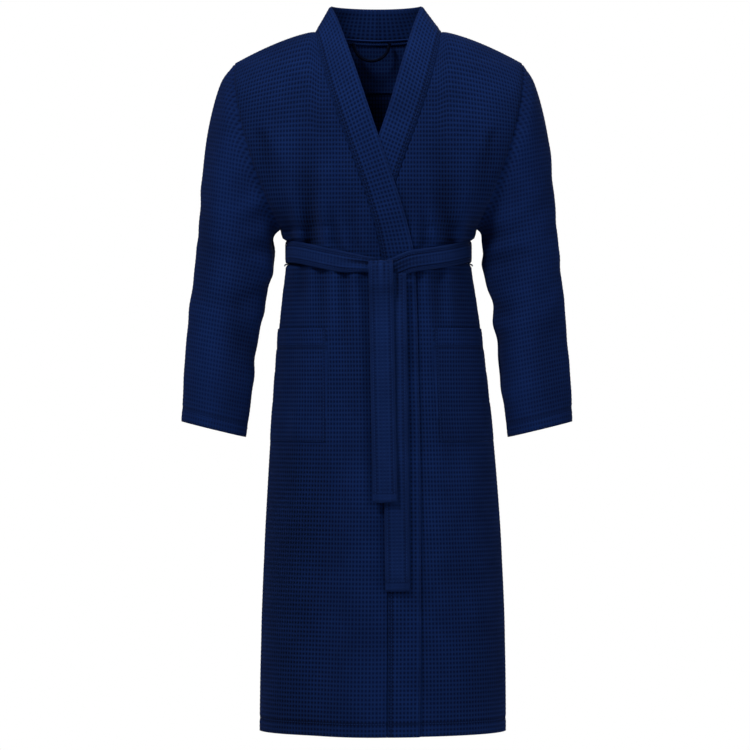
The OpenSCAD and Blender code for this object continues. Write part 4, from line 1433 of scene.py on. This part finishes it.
for word, side in SIDES.items():
    places = [(side * x, z) for x, z in ARMHOLE_BEND]
    bend(word + "_sleeve_waffle", word + "_sleeve", places, 0, BODY, word + "_sleeve_head", word + "_sleeve")
    ride(word + "_cuff_stitching", word + "_sleeve", TRIMMING)
    ride(word + "_pocket_waffle", "robe", BODY, word + "_pocket")
    ride(word + "_pocket_stitching", "robe", TRIMMING)
    ride(word + "_belt_loop_cord", "robe", CORDAGE, word + "_belt_loop")
    ride(word + "_neck_tape", "robe", TRIMMING)


# ---------------------------------------------------------------- studio
FLOOR_Z = -0.40
FLOOR_HALF = 9.0
WHITE = (1, 1, 1, 1)


def pale_floor():
    """Matt and pale near the robe, fading far out into the white of the studio for the camera."""
    material = bpy.data.materials.new("pale_floor")
    node = shader_of(material)
    distance = node("VectorMath", {0: node("TexCoord")["Object"]}, operation="LENGTH")["Value"]
    reach = {"Value": distance, "From Min": 0.3, "From Max": 3.2}
    far = node("MapRange", reach, interpolation_type="SMOOTHSTEP")[0]
    fade = node("Math", {0: far, 1: node("LightPath")["Is Camera Ray"]}, operation="MULTIPLY")[0]
    matt = node("BsdfDiffuse", {"Color": (0.93, 0.93, 0.93, 1)})[0]
    node("OutputMaterial", {0: node("MixShader", {0: fade, 1: matt, 2: node("Emission")[0]})[0]})
    return material


def floor():
    signs = ((-1, -1), (1, -1), (1, 1), (-1, 1))
    corners = [(FLOOR_HALF * x, FLOOR_HALF * y, FLOOR_Z) for x, y in signs]
    mesh = plain_mesh("floor", corners, [(0, 1, 2, 3)])
    mesh.materials.append(pale_floor())
    add_object("floor", mesh)


def studio_world():
    """White where the camera looks past the floor, and a faint cool fill for the cloth."""
    world = bpy.data.worlds.new("studio")
    bpy.context.scene.world = world
    node = shader_of(world)
    fill = node("Background", {0: (0.9, 0.95, 1, 1), 1: 0.085})[0]
    seen = node("Background", {0: WHITE})[0]
    node("OutputWorld", {0: node("MixShader", {0: node("LightPath")["Is Camera Ray"], 1: fill, 2: seen})[0]})


def softbox(name, location, target, size, power):
    data = bpy.data.lights.new(name, "AREA")
    data.shape = "RECTANGLE"
    data.size, data.size_y = size
    data.energy = power
    obj = add_object(name, data)
    obj.location = location
    obj.rotation_mode = "QUATERNION"
    obj.rotation_quaternion = (Vector(target) - Vector(location)).to_track_quat("-Z", "Y")


def photo_camera():
    """Far off with a long lens, level, and square to the front, like the photo."""
    data = bpy.data.cameras.new("photo_camera")
    data.lens = 209.3
    data.sensor_width = 36.0
    data.clip_end = 60
    camera = add_object("photo_camera", data)
    camera.location = (-0.006, -7.5, 0.6106)
    camera.rotation_euler = (math.pi / 2, 0, 0)
    bpy.context.scene.camera = camera


floor()
studio_world()
softbox("key_light", (-1.35, -2.1, 3.1), (0, 0, 0.9), (0.8, 0.8), 57)
softbox("fill_light", (2.6, -3.2, 2.1), (0, 0, 0.8), (1.6, 1.6), 36)
softbox("top_light", (0.2, -0.7, 3.2), (0, 0, 1.1), (1.4, 1.0), 13)
softbox("back_light", (1.2, 5.5, 2.6), (0, 0, 0.7), (2.0, 2.0), 110)

photo_camera()
bpy.context.scene.view_settings.view_transform = "Standard"
